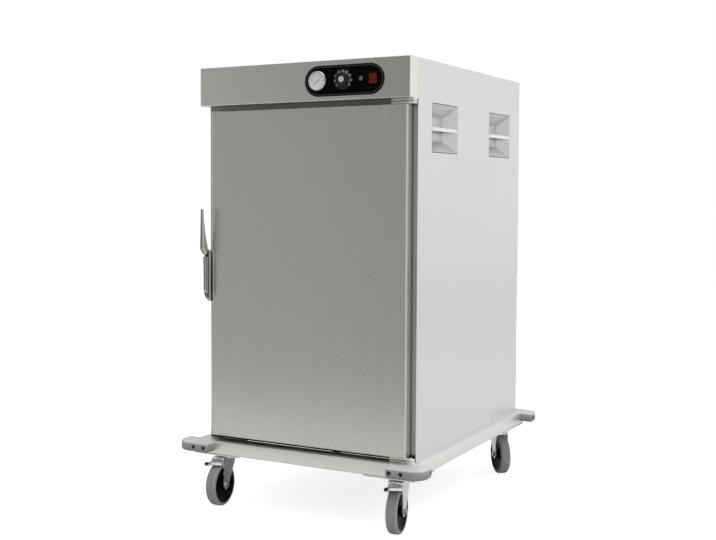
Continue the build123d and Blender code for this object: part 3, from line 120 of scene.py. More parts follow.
world = bpy.data.worlds.new("studio")
bpy.context.scene.world = world
world.use_nodes = True
room = world.node_tree
room.nodes.clear()
way = shader(room, "TexCoord").outputs["Generated"]
towards = shader(room, "VectorMath", {0: way, 1: ROOM_BRIGHT_WAY},
                 operation="DOT_PRODUCT").outputs["Value"]
share = shader(room, "MapRange", {"Value": towards, "From Min": -1.0,
                                  "From Max": 1.0}).outputs["Result"]
levels = shader(room, "ValToRGB", {"Fac": share})
colour_stops(levels, ROOM_LEVELS)
seen = shader(room, "LightPath").outputs["Is Camera Ray"]
lit = shader(room, "Background", {"Color": levels.outputs["Color"]}).outputs[0]
white = shader(room, "Background", {"Color": (1, 1, 1, 1)}).outputs[0]
mixed = shader(room, "MixShader", {0: seen, 1: lit, 2: white}).outputs[0]
shader(room, "OutputWorld", {"Surface": mixed})

for lamp_name, lamp in LAMPS.items():
    light = bpy.data.lights.new(lamp_name, "AREA")
    light.size = lamp["size"]
    light.energy = lamp["power"]
    holder = link(bpy.data.objects.new(lamp_name, light))
    holder.location = lamp["place"]
    back_along = Vector(lamp["place"]) - Vector(lamp["aim"])
    holder.rotation_euler = back_along.to_track_quat("Z", "Y").to_euler()

floor_mesh = bpy.data.meshes.new("floor")
floor_corners = [(-FLOOR_SIDE, FLOOR_FRONT, 0), (FLOOR_SIDE, FLOOR_FRONT, 0),
                 (FLOOR_SIDE, FLOOR_SIDE, 0), (-FLOOR_SIDE, FLOOR_SIDE, 0)]
floor_mesh.from_pydata(floor_corners, [], [(0, 1, 2, 3)])
floor = link(bpy.data.objects.new("floor", floor_mesh))
floor_paint = bpy.data.materials.new("floor paint")
floor_paint.use_nodes = True
tree = floor_paint.node_tree
tree.nodes.clear()
matt = shader(tree, "BsdfDiffuse", {"Color": FLOOR_COLOUR}).outputs[0]
spot = shader(tree, "TexCoord").outputs["Object"]
reach = shader(tree, "VectorMath", {0: spot}, operation="LENGTH").outputs["Value"]
path = shader(tree, "LightPath")
lift = 0.0
for ray, (near, far) in (("Is Camera Ray", SEEN_LIFT), ("Is Transmission Ray", SEEN_LIFT),
                         ("Is Glossy Ray", MIRRORED_LIFT)):
    lifted = shader(tree, "MapRange", {"Value": reach, "From Min": FLOOR_NEAR,
                                       "From Max": FLOOR_FAR, "To Min": near, "To Max": far},
                    interpolation_type="SMOOTHSTEP").outputs["Result"]
    lift = shader(tree, "Math", {0: path.outputs[ray], 1: lifted, 2: lift},
                  operation="MULTIPLY_ADD").outputs[0]
glow = shader(tree, "Emission", {"Color": (1, 1, 1, 1), "Strength": lift}).outputs[0]
both = shader(tree, "AddShader", {0: matt, 1: glow}).outputs[0]
shader(tree, "OutputMaterial", {"Surface": both})
floor_mesh.materials.append(floor_paint)


# Chassis: two side rails and two cross rails of rectangular stainless tube with rolled corners,
# brushed along their length, and under each corner a flat pad that the caster is bolted to. The
# steps, the noise's numbers and the helpers here serve the sections after it too.
RAIL_WIDTH = 0.060
RAIL_CORNER = 0.003
RAIL_EDGE = 0.0006
PAD_SIZE = 0.150
PAD_THICKNESS = 0.004
PAD_CORNER = 0.004
PAD_EDGE = 0.0008
CORNER_STEPS = 5
EDGE_STEPS = 4
SHARP_FROM = math.radians(40)
MERGE_WITHIN = 1e-6
NOISE_ENDS = (0.3, 0.7)
GRAIN_ENDS = (0.32, 0.68)
GRAIN_ACROSS, GRAIN_ALONG = 220.0, 2.4
GRAIN_DETAIL, GRAIN_ROUGHNESS = 5.0, 0.62
GRAIN_GLOSS, GRAIN_DEPTH = 0.04, 0.0006
CLOUD_SCALE = 2.6


def material(name):
    """A new empty material and its node tree."""
    made = bpy.data.materials.new(name)
    made.use_nodes = True
    made.node_tree.nodes.clear()
    return made, made.node_tree


def surfaced(made, tree, inputs):
    """End a material in one principled surface."""
    face = shader(tree, "BsdfPrincipled", inputs).outputs[0]
    shader(tree, "OutputMaterial", {"Surface": face})
    return made


def noise(tree, place, scale, detail, **more):
    """A noise at a place, of some scale and detail."""
    inputs = {"Vector": place, "Scale": scale, "Detail": detail, **more}
    return shader(tree, "TexNoise", inputs).outputs[0]


def tinted(tree, pattern, colour, darker, lighter, ends=NOISE_ENDS):
    """The colour, darker by a share at a pattern's low end and lighter by one at its high end."""
    ramp = shader(tree, "ValToRGB", {"Fac": pattern})
    colour_stops(ramp, ((ends[0], [c * (1 - darker) for c in colour]),
                        (ends[1], [min(1, c * (1 + lighter)) for c in colour])))
    return ramp.outputs[0]


def swung(tree, pattern, middle, swing):
    """A number that a pattern swings as far below its middle value as above it."""
    return shader(tree, "MapRange", {"Value": pattern, "From Min": NOISE_ENDS[0],
                                     "From Max": NOISE_ENDS[1], "To Min": middle - swing,
                                     "To Max": middle + swing}).outputs[0]


def raised(tree, pattern, strength, depth):
    """A pattern as a relief in the surface, of some strength and of a depth in metres."""
    inputs = {"Height": pattern, "Strength": strength, "Distance": depth}
    return shader(tree, "Bump", inputs).outputs[0]


def shaded(tree, colour, painted_light):
    """The colour times grey levels painted on as light, shade and reflections. Each runs along X, Y or Z
    through its stops, and each stop is a place in metres and a level."""
    for along, stops in painted_light:
        spot = shader(tree, "TexCoord").outputs["Object"]
        place = shader(tree, "SeparateXYZ", {0: spot}).outputs["xyz".index(along)]
        low, high = stops[0][0], stops[-1][0]
        share = shader(tree, "MapRange", {"Value": place, "From Min": low,
                                          "From Max": high}).outputs[0]
        ramp = shader(tree, "ValToRGB", {"Fac": share})
        colour_stops(ramp, [((at - low) / (high - low), level) for at, level in stops])
        colour = shader(tree, "VectorMath", {0: colour, 1: ramp.outputs[0]},
                        operation="MULTIPLY").outputs[0]
    return colour


def stainless(name, colour, roughness, grain, relief=0.06, streak=0.10, cloud=0.05, painted_light=()):
    """Brushed stainless steel. Noise drawn out along the grain streaks the colour, the roughness
    and the relief, and slow noise clouds the roughness as rolling does."""
    made, tree = material(name)
    place = shader(tree, "TexCoord").outputs["Object"]
    stretch = [GRAIN_ACROSS] * 3
    stretch["xyz".index(grain)] = GRAIN_ALONG
    drawn = shader(tree, "Mapping", {"Vector": place, "Scale": stretch}).outputs[0]
    streaks = noise(tree, drawn, 1.0, GRAIN_DETAIL, Roughness=GRAIN_ROUGHNESS)
    clouds = noise(tree, place, CLOUD_SCALE, 2.0)
    tint = tinted(tree, streaks, colour, streak, streak, GRAIN_ENDS)
    fine, slow = swung(tree, streaks, roughness, GRAIN_GLOSS), swung(tree, clouds, 0.0, cloud)
    rough = shader(tree, "Math", {0: fine, 1: slow}, operation="ADD", use_clamp=True).outputs[0]
    return surfaced(made, tree, {"Base Color": shaded(tree, tint, painted_light), "Metallic": 1.0,
                                 "Roughness": rough,
                                 "Normal": raised(tree, streaks, relief, GRAIN_DEPTH)})


def dress(finish, *nodes):
    """Give CAD pieces their finish."""
    for node in nodes:
        for slot in frame["nodes"][node].material_slots:
            slot.material = finish


node_bodies = {node: body for body, nodes in frame["record"]["behaviour"]["bodies"].items()
               for node in nodes}


def stand_for(piece, finish, node):
    """Give a new piece its finish, and let it take the place and body of a CAD piece."""
    accompany(piece, finish, node)
    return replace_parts(piece, node)


def accompany(piece, finish, node):
    """Give a new piece its finish, and the body of the CAD piece that it is fixed to."""
    piece.data.materials.append(finish)
    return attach(piece, node_bodies[node])


def meshed(name, points, faces):
    """A mesh piece: doubles merged, faces turned outwards, smooth but for its sharp edges."""
    mesh = bpy.data.meshes.new(name)
    mesh.from_pydata(np.asarray(points, float).reshape(-1, 3).tolist(), [], faces)
    work = bmesh.new()
    work.from_mesh(mesh)
    bmesh.ops.remove_doubles(work, verts=work.verts, dist=MERGE_WITHIN)
    bmesh.ops.recalc_face_normals(work, faces=work.faces)
    work.to_mesh(mesh)
    work.free()
    mesh.shade_smooth()
    mesh.set_sharp_from_angle(angle=SHARP_FROM)
    return link(bpy.data.objects.new(name, mesh))


def skinned(name, rings, round_again=False):
    """A surface through a row of closed rings with equal numbers of points. Each ring is joined to
    the next by quads. The last is joined to the first if it goes round again, and otherwise the
    ends are closed flat."""
    rings = np.asarray(rings, float)
    count, size = rings.shape[:2]
    index = np.arange(count * size).reshape(count, size)
    beside = np.roll(index, -1, axis=1)
    if round_again:
        here, there = index, np.roll(index, -1, axis=0)
        beside_there = np.roll(beside, -1, axis=0)
        quads = np.stack([here, beside, beside_there, there], -1).reshape(-1, 4)
        return meshed(name, rings, quads.tolist())
    quads = np.stack([index[:-1], beside[:-1], beside[1:], index[1:]], -1).reshape(-1, 4)
    return meshed(name, rings, quads.tolist() + [index[0, ::-1].tolist(), index[-1].tolist()])


def rounded_corners(corners, radii):
    """Points round a flat outline whose corners are arcs. An arc touches its two sides r / tan(half
    the corner) from the corner, its centre is r / sin(half) along the bisector, and its points are
    the directions to the two touching places, mixed evenly by angle."""
    corners = np.asarray(corners, float)
    radii = np.broadcast_to(np.asarray(radii, float), len(corners))
    points = []
    neighbours = zip(np.roll(corners, 1, 0), corners, np.roll(corners, -1, 0), radii)
    for before, corner, after, radius in neighbours:
        if radius <= 0:
            points.append(corner[None])
            continue
        to_before = (before - corner) / np.linalg.norm(before - corner)
        to_after = (after - corner) / np.linalg.norm(after - corner)
        half = math.acos(np.clip(to_before @ to_after, -1, 1)) / 2
        bisector = (to_before + to_after) / np.linalg.norm(to_before + to_after)
        centre = corner + bisector * radius / math.sin(half)
        start = (corner + to_before * radius / math.tan(half) - centre) / radius
        end = (corner + to_after * radius / math.tan(half) - centre) / radius
        sweep = math.acos(np.clip(start @ end, -1, 1))
        share = np.linspace(0, 1, CORNER_STEPS)[:, None]
        arc = (np.sin((1 - share) * sweep) * start + np.sin(share * sweep) * end) / math.sin(sweep)
        points.append(centre + radius * arc)
    return np.concatenate(points)


def rectangle(x0, x1, y0, y1):
    """The corners of a flat rectangle, in turn."""
    return [(x0, y0), (x1, y0), (x1, y1), (x0, y1)]


def bar(name, outline, start, end, along, edge=0.0):
    """A bar whose flat outline is carried along X, Y or Z. Where it has an edge, the outline draws
    in by a quarter circle near both ends, so that the end edges are rounded."""
    outline = np.asarray(outline, float)
    turn = np.linspace(0, math.pi / 2, EDGE_STEPS) if edge else np.zeros(1)
    inset = edge * (1 - np.sin(turn))
    depth = edge * (1 - np.cos(turn))
    middle = (outline.max(0) + outline.min(0)) / 2
    half = (outline.max(0) - outline.min(0)) / 2
    insets = np.concatenate([inset, inset[::-1]])
    places = np.concatenate([start + depth, end - depth[::-1]])
    shrink = 1 - insets[:, None, None] / half
    flat = middle + (outline - middle)[None] * shrink
    rings = np.insert(flat, "xyz".index(along), places[:, None], axis=2)
    return skinned(name, rings)


chassis_low, chassis_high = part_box("chassis_frame")
pad_bottom, rail_bottom, rail_top = chassis_low.z, chassis_low.z + PAD_THICKNESS, chassis_high.z
rail_in = chassis_high.x - RAIL_WIDTH
side_steel = stainless("side rail steel", (0.83, 0.84, 0.815), 0.42, "y", relief=0.04, streak=0.06)
cross_steel = stainless("cross rail steel", (0.80, 0.815, 0.755), 0.42, "x", relief=0.04,
                        streak=0.06)
for side, x0, x1 in (("left", chassis_low.x, -rail_in), ("right", rail_in, chassis_high.x)):
    outline = rounded_corners(rectangle(x0, x1, rail_bottom, rail_top), RAIL_CORNER)
    rail = bar("side_rail_" + side, outline, chassis_low.y, chassis_high.y, "y", edge=RAIL_EDGE)
    stand_for(rail, side_steel, "chassis_frame")
for end, y0, y1 in (("front", chassis_low.y, chassis_low.y + RAIL_WIDTH),
                    ("rear", chassis_high.y - RAIL_WIDTH, chassis_high.y)):
    outline = rounded_corners(rectangle(y0, y1, rail_bottom, rail_top), RAIL_CORNER)
    rail = bar("cross_rail_" + end, outline, -rail_in, rail_in, "x")
    stand_for(rail, cross_steel, "chassis_frame")
for side, x0 in (("left", chassis_low.x), ("right", chassis_high.x - PAD_SIZE)):
    for end, y0 in (("front", chassis_low.y), ("rear", chassis_high.y - PAD_SIZE)):
        outline = rounded_corners(rectangle(x0, x0 + PAD_SIZE, y0, y0 + PAD_SIZE), PAD_CORNER)
        pad = bar("pad_%s_%s" % (end, side), outline, pad_bottom, rail_bottom, "z", edge=PAD_EDGE)
        stand_for(pad, cross_steel, "chassis_frame")


# Corner bumpers: grey moulded angles round the chassis corners, each held by three screws whose
# heads sit down in round recesses.
# Painted light on the bumpers: their grey is lighter along the top and darker down the faces below.
BUMPER_PAINTED_LIGHT = [("z", ((0.166, 0.36), (0.181, 0.44), (0.189, 0.54), (0.193, 1.0), (0.196, 1.0)))]
PATCH_SCALE, PATCH_GLOSS = 22.0, 0.06
SKIN_DEPTH = 0.0004
PLATING_SCALE, PLATING_RELIEF, PLATING_DEPTH = 60.0, 0.05, 0.0005
PLATING_DARKER, PLATING_LIGHTER = 0.07, 0.05


def moulded(name, colour, roughness, grain_size=900.0, relief=0.12, specular=0.5, patch=0.08,
            painted_light=()):
    """Moulded plastic or rubber: a fine even grain in relief, slow patches in colour and gloss."""
    made, tree = material(name)
    place = shader(tree, "TexCoord").outputs["Object"]
    grain = noise(tree, place, grain_size, 2.0)
    patches = noise(tree, place, PATCH_SCALE, 3.0)
    tint = tinted(tree, patches, colour, patch, patch)
    return surfaced(made, tree, {"Base Color": shaded(tree, tint, painted_light),
                                 "Roughness": swung(tree, patches, roughness, PATCH_GLOSS),
                                 "Specular IOR Level": specular,
                                 "Normal": raised(tree, grain, relief, SKIN_DEPTH)})


def plated(name, colour, roughness, mottle=0.05, painted_light=()):
    """Plated or polished metal: a bright mirror whose gloss and colour wander a little."""
    made, tree = material(name)
    place = shader(tree, "TexCoord").outputs["Object"]
    wander = noise(tree, place, PLATING_SCALE, 4.0)
    tint = tinted(tree, wander, colour, PLATING_DARKER, PLATING_LIGHTER)
    ripple = raised(tree, wander, PLATING_RELIEF, PLATING_DEPTH)
    return surfaced(made, tree, {"Base Color": shaded(tree, tint, painted_light), "Metallic": 1.0,
                                 "Roughness": swung(tree, wander, roughness, mottle),
                                 "Normal": ripple})


bumper_plastic = moulded("bumper plastic", (0.60, 0.605, 0.60), 0.40, relief=0.2,
                         painted_light=BUMPER_PAINTED_LIGHT)
screw_zinc = plated("screw zinc", (0.05, 0.05, 0.05), 0.45)
dress(bumper_plastic, "corner_bumpers")
dress(screw_zinc, "bumper_screws")


# Casters: bright zinc plates and pressed forks, black moulded hubs and grey rubber tyres with
# grooves round the tread. Each wheel turns on a bolt through the fork's feet.
CASTERS = ("front_left", "front_right", "rear_left", "rear_right")
TYRE_R = 0.0625
TYRE_HALF = 0.016
TYRE_SHOULDER = 0.007
TYRE_INSIDE_R = 0.0533
TYRE_GROOVES = (-0.0078, -0.0026, 0.0026, 0.0078)
TYRE_GROOVE_DEPTH = 0.0012
TYRE_GROOVE_HALF = 0.0012
TYRE_STEPS = 161
HUB_LIP_R, HUB_LIP_HALF = 0.0535, 0.0145
HUB_LIP_FACE, HUB_LIP_FOOT = 0.0030, 0.0038
HUB_ROLL = 0.0006
HUB_DISH_HALF = 0.0095
HUB_DISH_BELOW_LIP = 0.0012
HUB_DISH_IN_LIP, HUB_DISH_OFF_BOSS, HUB_DISH_STEPS = 0.0045, 0.002, 26
HUB_BEAD_R, HUB_BEAD_RISE, HUB_BEAD_SPREAD = 0.034, 0.0010, 0.0012
HUB_BOSS_R, HUB_BOSS_HALF, HUB_BOSS_ROLL = 0.0150, 0.0181, 0.001
HUB_BORE_R = 0.0051
CASTER_PLATE_EDGE = 0.0008
CASTER_BOLT_EDGE = 0.0006
AXLE_EDGE = 0.0006
FORK_EDGE = 0.0012
WHEEL_STEPS = 112
TRIANGLES_MEET = 2e-6
FLAT_WITHIN = math.radians(0.6)


def softened(name, node, width, segments=2):
    """A copy of a CAD piece with its loose triangles joined, its flat faces made whole and its
    edges rounded."""
    copy = frame["nodes"][node].data.copy()
    copy.materials.clear()
    for attribute in [a for a in copy.attributes if a.name in ("custom_normal", "sharp_edge")]:
        copy.attributes.remove(attribute)
    work = bmesh.new()
    work.from_mesh(copy)
    bmesh.ops.remove_doubles(work, verts=work.verts, dist=TRIANGLES_MEET)
    bmesh.ops.dissolve_limit(work, angle_limit=FLAT_WITHIN, verts=work.verts, edges=work.edges)
    work.to_mesh(copy)
    work.free()
    copy.shade_smooth()
    copy.set_sharp_from_angle(angle=SHARP_FROM)
    piece = link(bpy.data.objects.new(name, copy))
    rounding = piece.modifiers.new("rounding", "BEVEL")
    rounding.width = width
    rounding.segments = segments
    rounding.limit_method = "ANGLE"
    rounding.angle_limit = SHARP_FROM
    rounding.use_clamp_overlap = True
    rounding.harden_normals = True
    return piece


def turned(name, profile, centre, axis, steps=WHEEL_STEPS, closed=False):
    """A piece turned about an axis. Each point of the profile stands some way along the axis and
    some way out from it, and goes round in even steps. A closed profile joins up with itself."""
    axis = np.asarray(Vector(axis).normalized())
    side = np.cross(axis, (0, 0, 1)) if abs(axis[2]) < 0.9 else np.array((1.0, 0, 0))
    side = side / np.linalg.norm(side)
    up = np.cross(side, axis)
    profile = np.asarray(profile, float)
    angle = np.linspace(0, 2 * math.pi, steps, endpoint=False)
    out = np.cos(angle)[:, None] * side + np.sin(angle)[:, None] * up
    rings = np.asarray(centre) + profile[:, None, :1] * axis + profile[:, None, 1:] * out[None]
    return skinned(name, rings, round_again=closed)


def tread_profile():
    """The tyre's section: flat tread with cosine-shaped grooves, quarter-circle shoulders, and
    straight sides down to the hub. Each point is how far along the axle and how far out it lies."""
    across = np.linspace(-TYRE_HALF, TYRE_HALF, TYRE_STEPS)
    past = np.clip(np.abs(across) - (TYRE_HALF - TYRE_SHOULDER), 0, TYRE_SHOULDER)
    out = TYRE_R - TYRE_SHOULDER + np.sqrt(TYRE_SHOULDER ** 2 - past ** 2)
    for groove in TYRE_GROOVES:
        near = np.clip(np.abs(across - groove) / TYRE_GROOVE_HALF, 0, 1)
        out -= TYRE_GROOVE_DEPTH * (1 + np.cos(math.pi * near)) / 2
    inside = np.array([(TYRE_HALF, TYRE_INSIDE_R), (-TYRE_HALF, TYRE_INSIDE_R)])
    return np.concatenate([np.stack([across, out], -1), inside])


def hub_profile():
    """The hub's section, one side and then the other: rim lip, a dish that falls from it as a cube
    to the boss, a low bead on the dish, and the boss with a rounded end."""
    out = np.linspace(HUB_LIP_R - HUB_DISH_IN_LIP, HUB_BOSS_R + HUB_DISH_OFF_BOSS, HUB_DISH_STEPS)
    share = (out - out[-1]) / (out[0] - out[-1])
    dish = HUB_DISH_HALF + (HUB_LIP_HALF - HUB_DISH_BELOW_LIP - HUB_DISH_HALF) * share ** 3
    dish += HUB_BEAD_RISE * np.exp(-((out - HUB_BEAD_R) / HUB_BEAD_SPREAD) ** 2)
    lip = [(HUB_LIP_HALF - HUB_ROLL, HUB_LIP_R), (HUB_LIP_HALF, HUB_LIP_R - HUB_ROLL),
           (HUB_LIP_HALF, HUB_LIP_R - HUB_LIP_FACE),
           (HUB_LIP_HALF - HUB_ROLL, HUB_LIP_R - HUB_LIP_FOOT)]
    boss = [(HUB_DISH_HALF + HUB_BOSS_ROLL, HUB_BOSS_R + HUB_ROLL),
            (HUB_BOSS_HALF - HUB_BOSS_ROLL, HUB_BOSS_R),
            (HUB_BOSS_HALF, HUB_BOSS_R - HUB_BOSS_ROLL), (HUB_BOSS_HALF, HUB_BORE_R)]
    near = np.concatenate([lip, np.stack([dish, out], -1), boss])
    return np.concatenate([near[::-1], near * (-1, 1)])


caster_zinc = plated("caster zinc", (0.88, 0.885, 0.885), 0.30, mottle=0.07)
bolt_zinc = plated("bolt zinc", (0.55, 0.55, 0.54), 0.3)
hub_plastic = moulded("hub plastic", (0.003, 0.003, 0.003), 0.36, specular=0.05)
tyre_rubber = moulded("tyre rubber", (0.29, 0.29, 0.28), 0.45, grain_size=500.0, patch=0.05)
joint_rows = {row["name"]: row for row in frame["joints"]}
plates = softened("caster_plate_set", "caster_plates", CASTER_PLATE_EDGE)
stand_for(plates, caster_zinc, "caster_plates")
bolts = softened("caster_bolt_set", "caster_bolts", CASTER_BOLT_EDGE)
stand_for(bolts, bolt_zinc, "caster_bolts")
for corner in CASTERS:
    wheel = joint_rows["wheel_" + corner]
    centre, axis = wheel["pos_m"], wheel["axis"]
    tyre = turned("grooved_tyre_" + corner, tread_profile(), centre, axis, closed=True)
    stand_for(tyre, tyre_rubber, "tyre_" + corner)
    hub = turned("dished_hub_" + corner, hub_profile(), centre, axis, closed=True)
    stand_for(hub, hub_plastic, "hub_" + corner)
    fork = softened("pressed_fork_" + corner, "fork_" + corner, FORK_EDGE)
    stand_for(fork, caster_zinc, "fork_" + corner)
    axle = softened("axle_bolt_" + corner, "axle_" + corner, AXLE_EDGE)
    stand_for(axle, bolt_zinc, "axle_" + corner)


# Brake pedals: pressed channels on a cross pin in each front fork, narrowing to an arm on the left
# with a rubber-capped tip, and a rubber shoe that the pedal presses on the tread.
PEDAL_SHEET = 0.0025
PEDAL_BACK, PEDAL_END = -0.004, 0.0485
PEDAL_WAYS = (PEDAL_BACK, 0.0065, 0.0110, 0.0180, 0.0270, PEDAL_END)
PEDAL_HALVES = (0.0170, 0.0170, 0.0200, 0.0200, 0.0062, 0.0045)
PEDAL_MIDDLES = (0.0, 0.0, 0.0, 0.0, -0.0130, -0.0148)
PEDAL_TOP = 0.0014
PEDAL_FLANGE, PEDAL_BACK_FLANGE, PEDAL_FLANGE_FROM = 0.0085, 0.0035, 0.009
PEDAL_BEND, PEDAL_INNER_BEND = 0.003, 0.001
PEDAL_STEPS = 36
PEDAL_EYE_R, PEDAL_EYE_HALF = 0.0050, 0.0178
PEDAL_PIN_R, PEDAL_PIN_HALF = 0.0030, 0.0215
PEDAL_PIN_END_R, PEDAL_PIN_ROLL = 0.0022, 0.0006
TIP_LENGTH, TIP_HALF, TIP_DEEP, TIP_MIDDLE = 0.0075, 0.0058, 0.0045, -0.0002
TIP_PAST_END, TIP_CORNER, TIP_STEPS = 0.0014, 0.0040, 8
TIP_ROUND_FROM, TIP_ROUND_OVER, TIP_ROUND_MOST = 0.002, 0.0036, 0.93
SHOE_FROM, SHOE_TO, SHOE_HALF = 0.0102, 0.0178, 0.0118
SHOE_BOTTOM, SHOE_TOP, SHOE_ROLL, SHOE_CORNER = -0.0074, -0.0014, 0.0008, 0.0015
UP = np.array((0.0, 0.0, 1.0))


def pedal_frame(joint):
    """A pedal's pin, the way that the pin runs, and the way that the tip points."""
    pin = np.asarray(joint["pos_m"])
    across = np.asarray(joint["axis"])
    return pin, across, np.array((across[1], -across[0], 0.0))


def on_pedal(joint, aside, above, ahead):
    """Places on a pedal: its pin's middle, and from there so far along the pin, up and ahead."""
    pin, across, forward = pedal_frame(joint)
    return pin + aside * across + above * UP + ahead * forward


def pedal_ring(joint, way, middle, half, flange):
    """A section of the down-turned channel: a rounded U, some way forward from the pin."""
    top, low, sheet = PEDAL_TOP, PEDAL_TOP - flange, PEDAL_SHEET
    corners = [(-half, low), (-half, top), (half, top), (half, low), (half - sheet, low),
               (half - sheet, top - sheet), (sheet - half, top - sheet), (sheet - half, low)]
    flat = rounded_corners(corners, (0, PEDAL_BEND, PEDAL_BEND, 0, 0, PEDAL_INNER_BEND,
                                     PEDAL_INNER_BEND, 0))
    return on_pedal(joint, middle + flat[:, :1], flat[:, 1:], way)


pedal_rubber = moulded("pedal rubber", (0.012, 0.012, 0.012), 0.5)
for corner in CASTERS[:2]:
    joint = joint_rows["brake_" + corner]
    node = "brake_pedal_" + corner
    pin, across = pedal_frame(joint)[:2]
    ways = np.linspace(PEDAL_BACK, PEDAL_END, PEDAL_STEPS)
    halves = np.interp(ways, PEDAL_WAYS, PEDAL_HALVES)
    middles = np.interp(ways, PEDAL_WAYS, PEDAL_MIDDLES)
    flanges = np.where(ways < PEDAL_FLANGE_FROM, PEDAL_BACK_FLANGE, PEDAL_FLANGE)
    rings = [pedal_ring(joint, *row) for row in zip(ways, middles, halves, flanges)]
    stand_for(skinned("pedal_" + corner, rings), caster_zinc, node)
    eye = [(-PEDAL_EYE_HALF, PEDAL_EYE_R), (PEDAL_EYE_HALF, PEDAL_EYE_R)]
    accompany(turned("pedal_eye_" + corner, eye, pin, across, 32), caster_zinc, node)
    rivet = [(-PEDAL_PIN_HALF, PEDAL_PIN_END_R), (PEDAL_PIN_ROLL - PEDAL_PIN_HALF, PEDAL_PIN_R),
             (PEDAL_PIN_HALF - PEDAL_PIN_ROLL, PEDAL_PIN_R), (PEDAL_PIN_HALF, PEDAL_PIN_END_R)]
    accompany(turned("pedal_pin_" + corner, rivet, pin, across, 24), bolt_zinc, node)
    tip_ways = np.linspace(PEDAL_END - TIP_LENGTH, PEDAL_END + TIP_PAST_END, TIP_STEPS)
    past = np.clip((tip_ways - PEDAL_END + TIP_ROUND_FROM) / TIP_ROUND_OVER, 0, TIP_ROUND_MOST)
    tip_rings = []
    for way, full in zip(tip_ways, np.sqrt(1 - past ** 2)):
        half, deep = TIP_HALF * full, TIP_DEEP * full
        flat = rounded_corners(rectangle(-half, half, TIP_MIDDLE - deep, TIP_MIDDLE + deep),
                               TIP_CORNER * full)
        tip_rings.append(on_pedal(joint, PEDAL_MIDDLES[-1] + flat[:, :1], flat[:, 1:], way))
    accompany(skinned("pedal_tip_" + corner, tip_rings), pedal_rubber, node)
    shoe_rings = []
    for height, inset in ((SHOE_BOTTOM, SHOE_ROLL), (SHOE_BOTTOM + SHOE_ROLL, 0), (SHOE_TOP, 0)):
        flat = rounded_corners(rectangle(inset - SHOE_HALF, SHOE_HALF - inset, SHOE_FROM + inset,
                                         SHOE_TO - inset), SHOE_CORNER)
        shoe_rings.append(on_pedal(joint, flat[:, :1], height, flat[:, 1:]))
    accompany(skinned("pedal_shoe_" + corner, shoe_rings), pedal_rubber, node)


# Body: stainless sheets, brushed, folded and welded round the insulated box. The front frame and
# the floor stand back in the shadow of the door, and their steel is painted darker as shade.
PANEL_EDGE = 0.0006
# Painted shade on the front frame and the floor: near black up to the door's bottom edge, and darker again over
# the door's top edge.
FRAME_PAINTED_SHADE = [("z", ((0.196, 0.03), (0.2095, 0.03), (0.216, 1.0), (1.150, 1.0), (1.158, 0.6),
                       (1.284, 0.6)))]

panel_steel = stainless("panel steel", (0.76, 0.765, 0.76), 0.36, "z", relief=0.02, streak=0.02)
frame_steel_in_painted_shade = stainless("front frame steel in painted shade", (0.50, 0.50, 0.47), 0.5, "z", relief=0.04,
                        streak=0.05, painted_light=FRAME_PAINTED_SHADE)
liner_steel = stainless("liner steel", (0.70, 0.705, 0.70), 0.38, "z", relief=0.05, streak=0.05)
mineral_wool = moulded("mineral wool", (0.62, 0.54, 0.30), 0.9, grain_size=260.0, relief=0.8)
heater_sheath = plated("heater sheath", (0.32, 0.29, 0.26), 0.42)
for node in ("right_side_panel", "left_side_panel", "top_panel", "back_panel"):
    stand_for(softened(node + "_sheet", node, PANEL_EDGE), panel_steel, node)
dress(frame_steel_in_painted_shade, "face_frame", "bottom_pan")
dress(liner_steel, "cavity_liner", "tray_racks", "element_brackets", "water_pan")
dress(mineral_wool, "insulation", "door_insulation")
dress(heater_sheath, "heating_element")


# Push grips: dishes pressed from sheet and welded into windows in the side panels, each with a
# square bar across it.
GRIP_MOUTH = (0.192, 0.136)
GRIP_FLOOR = (0.122, 0.066)
GRIP_DEPTH = 0.032
GRIP_SHEET = 0.0015
GRIP_BACK_WIDER = 0.0004
GRIP_FLOOR_BEND, GRIP_BEND_STEPS = 0.010, 9
GRIP_MOUTH_ROLL, GRIP_MOUTH_EDGE = 0.000875, 0.0002
GRIP_MOUTH_R, GRIP_FLOOR_R = 0.0015, 0.012
GRIP_FIRST_RING = (0.004, 0.002, 0.0015)
GRIP_BAR_EDGE = 0.0012
LARGEST_CORNER = 0.999


def dish_wall(depth):
    """A dish's wall, from its floor out to its mouth: how far outside the floor's edge and how high
    above the floor it runs, and its corner radius there. A bend of even radius goes out by its
    turn's sine and up by one less the cosine, and starts tan(half the lean) radii inside the edge.
    Then come a straight slope and a small roll at the mouth."""
    slope = (GRIP_MOUTH[0] - GRIP_FLOOR[0]) / 2 / GRIP_DEPTH
    lean = math.atan(1 / slope)
    turn = np.linspace(0, 1, GRIP_BEND_STEPS) * lean
    bend = GRIP_FLOOR_BEND * np.stack([np.sin(turn) - math.tan(lean / 2), 1 - np.cos(turn)], -1)
    straight = depth - GRIP_MOUTH_ROLL
    mouth = [(straight * slope, straight),
             (depth * slope - GRIP_MOUTH_EDGE, depth - GRIP_MOUTH_EDGE), (depth * slope, depth)]
    wall = np.concatenate([bend, mouth])
    radius = np.interp(wall[:, 1], (0, depth), (GRIP_FLOOR_R, GRIP_MOUTH_R))
    return np.column_stack([wall, radius])


def dish_ring(place, outward, half_y, half_z, corner, depth):
    """A rounded rectangle at a depth below the side panel's face."""
    x, y, z = place
    flat = rounded_corners(rectangle(-half_y, half_y, -half_z, half_z),
                           min(corner, half_y, half_z) * LARGEST_CORNER)
    return np.stack([np.full(len(flat), x - outward * depth), y + flat[:, 0], z + flat[:, 1]], -1)


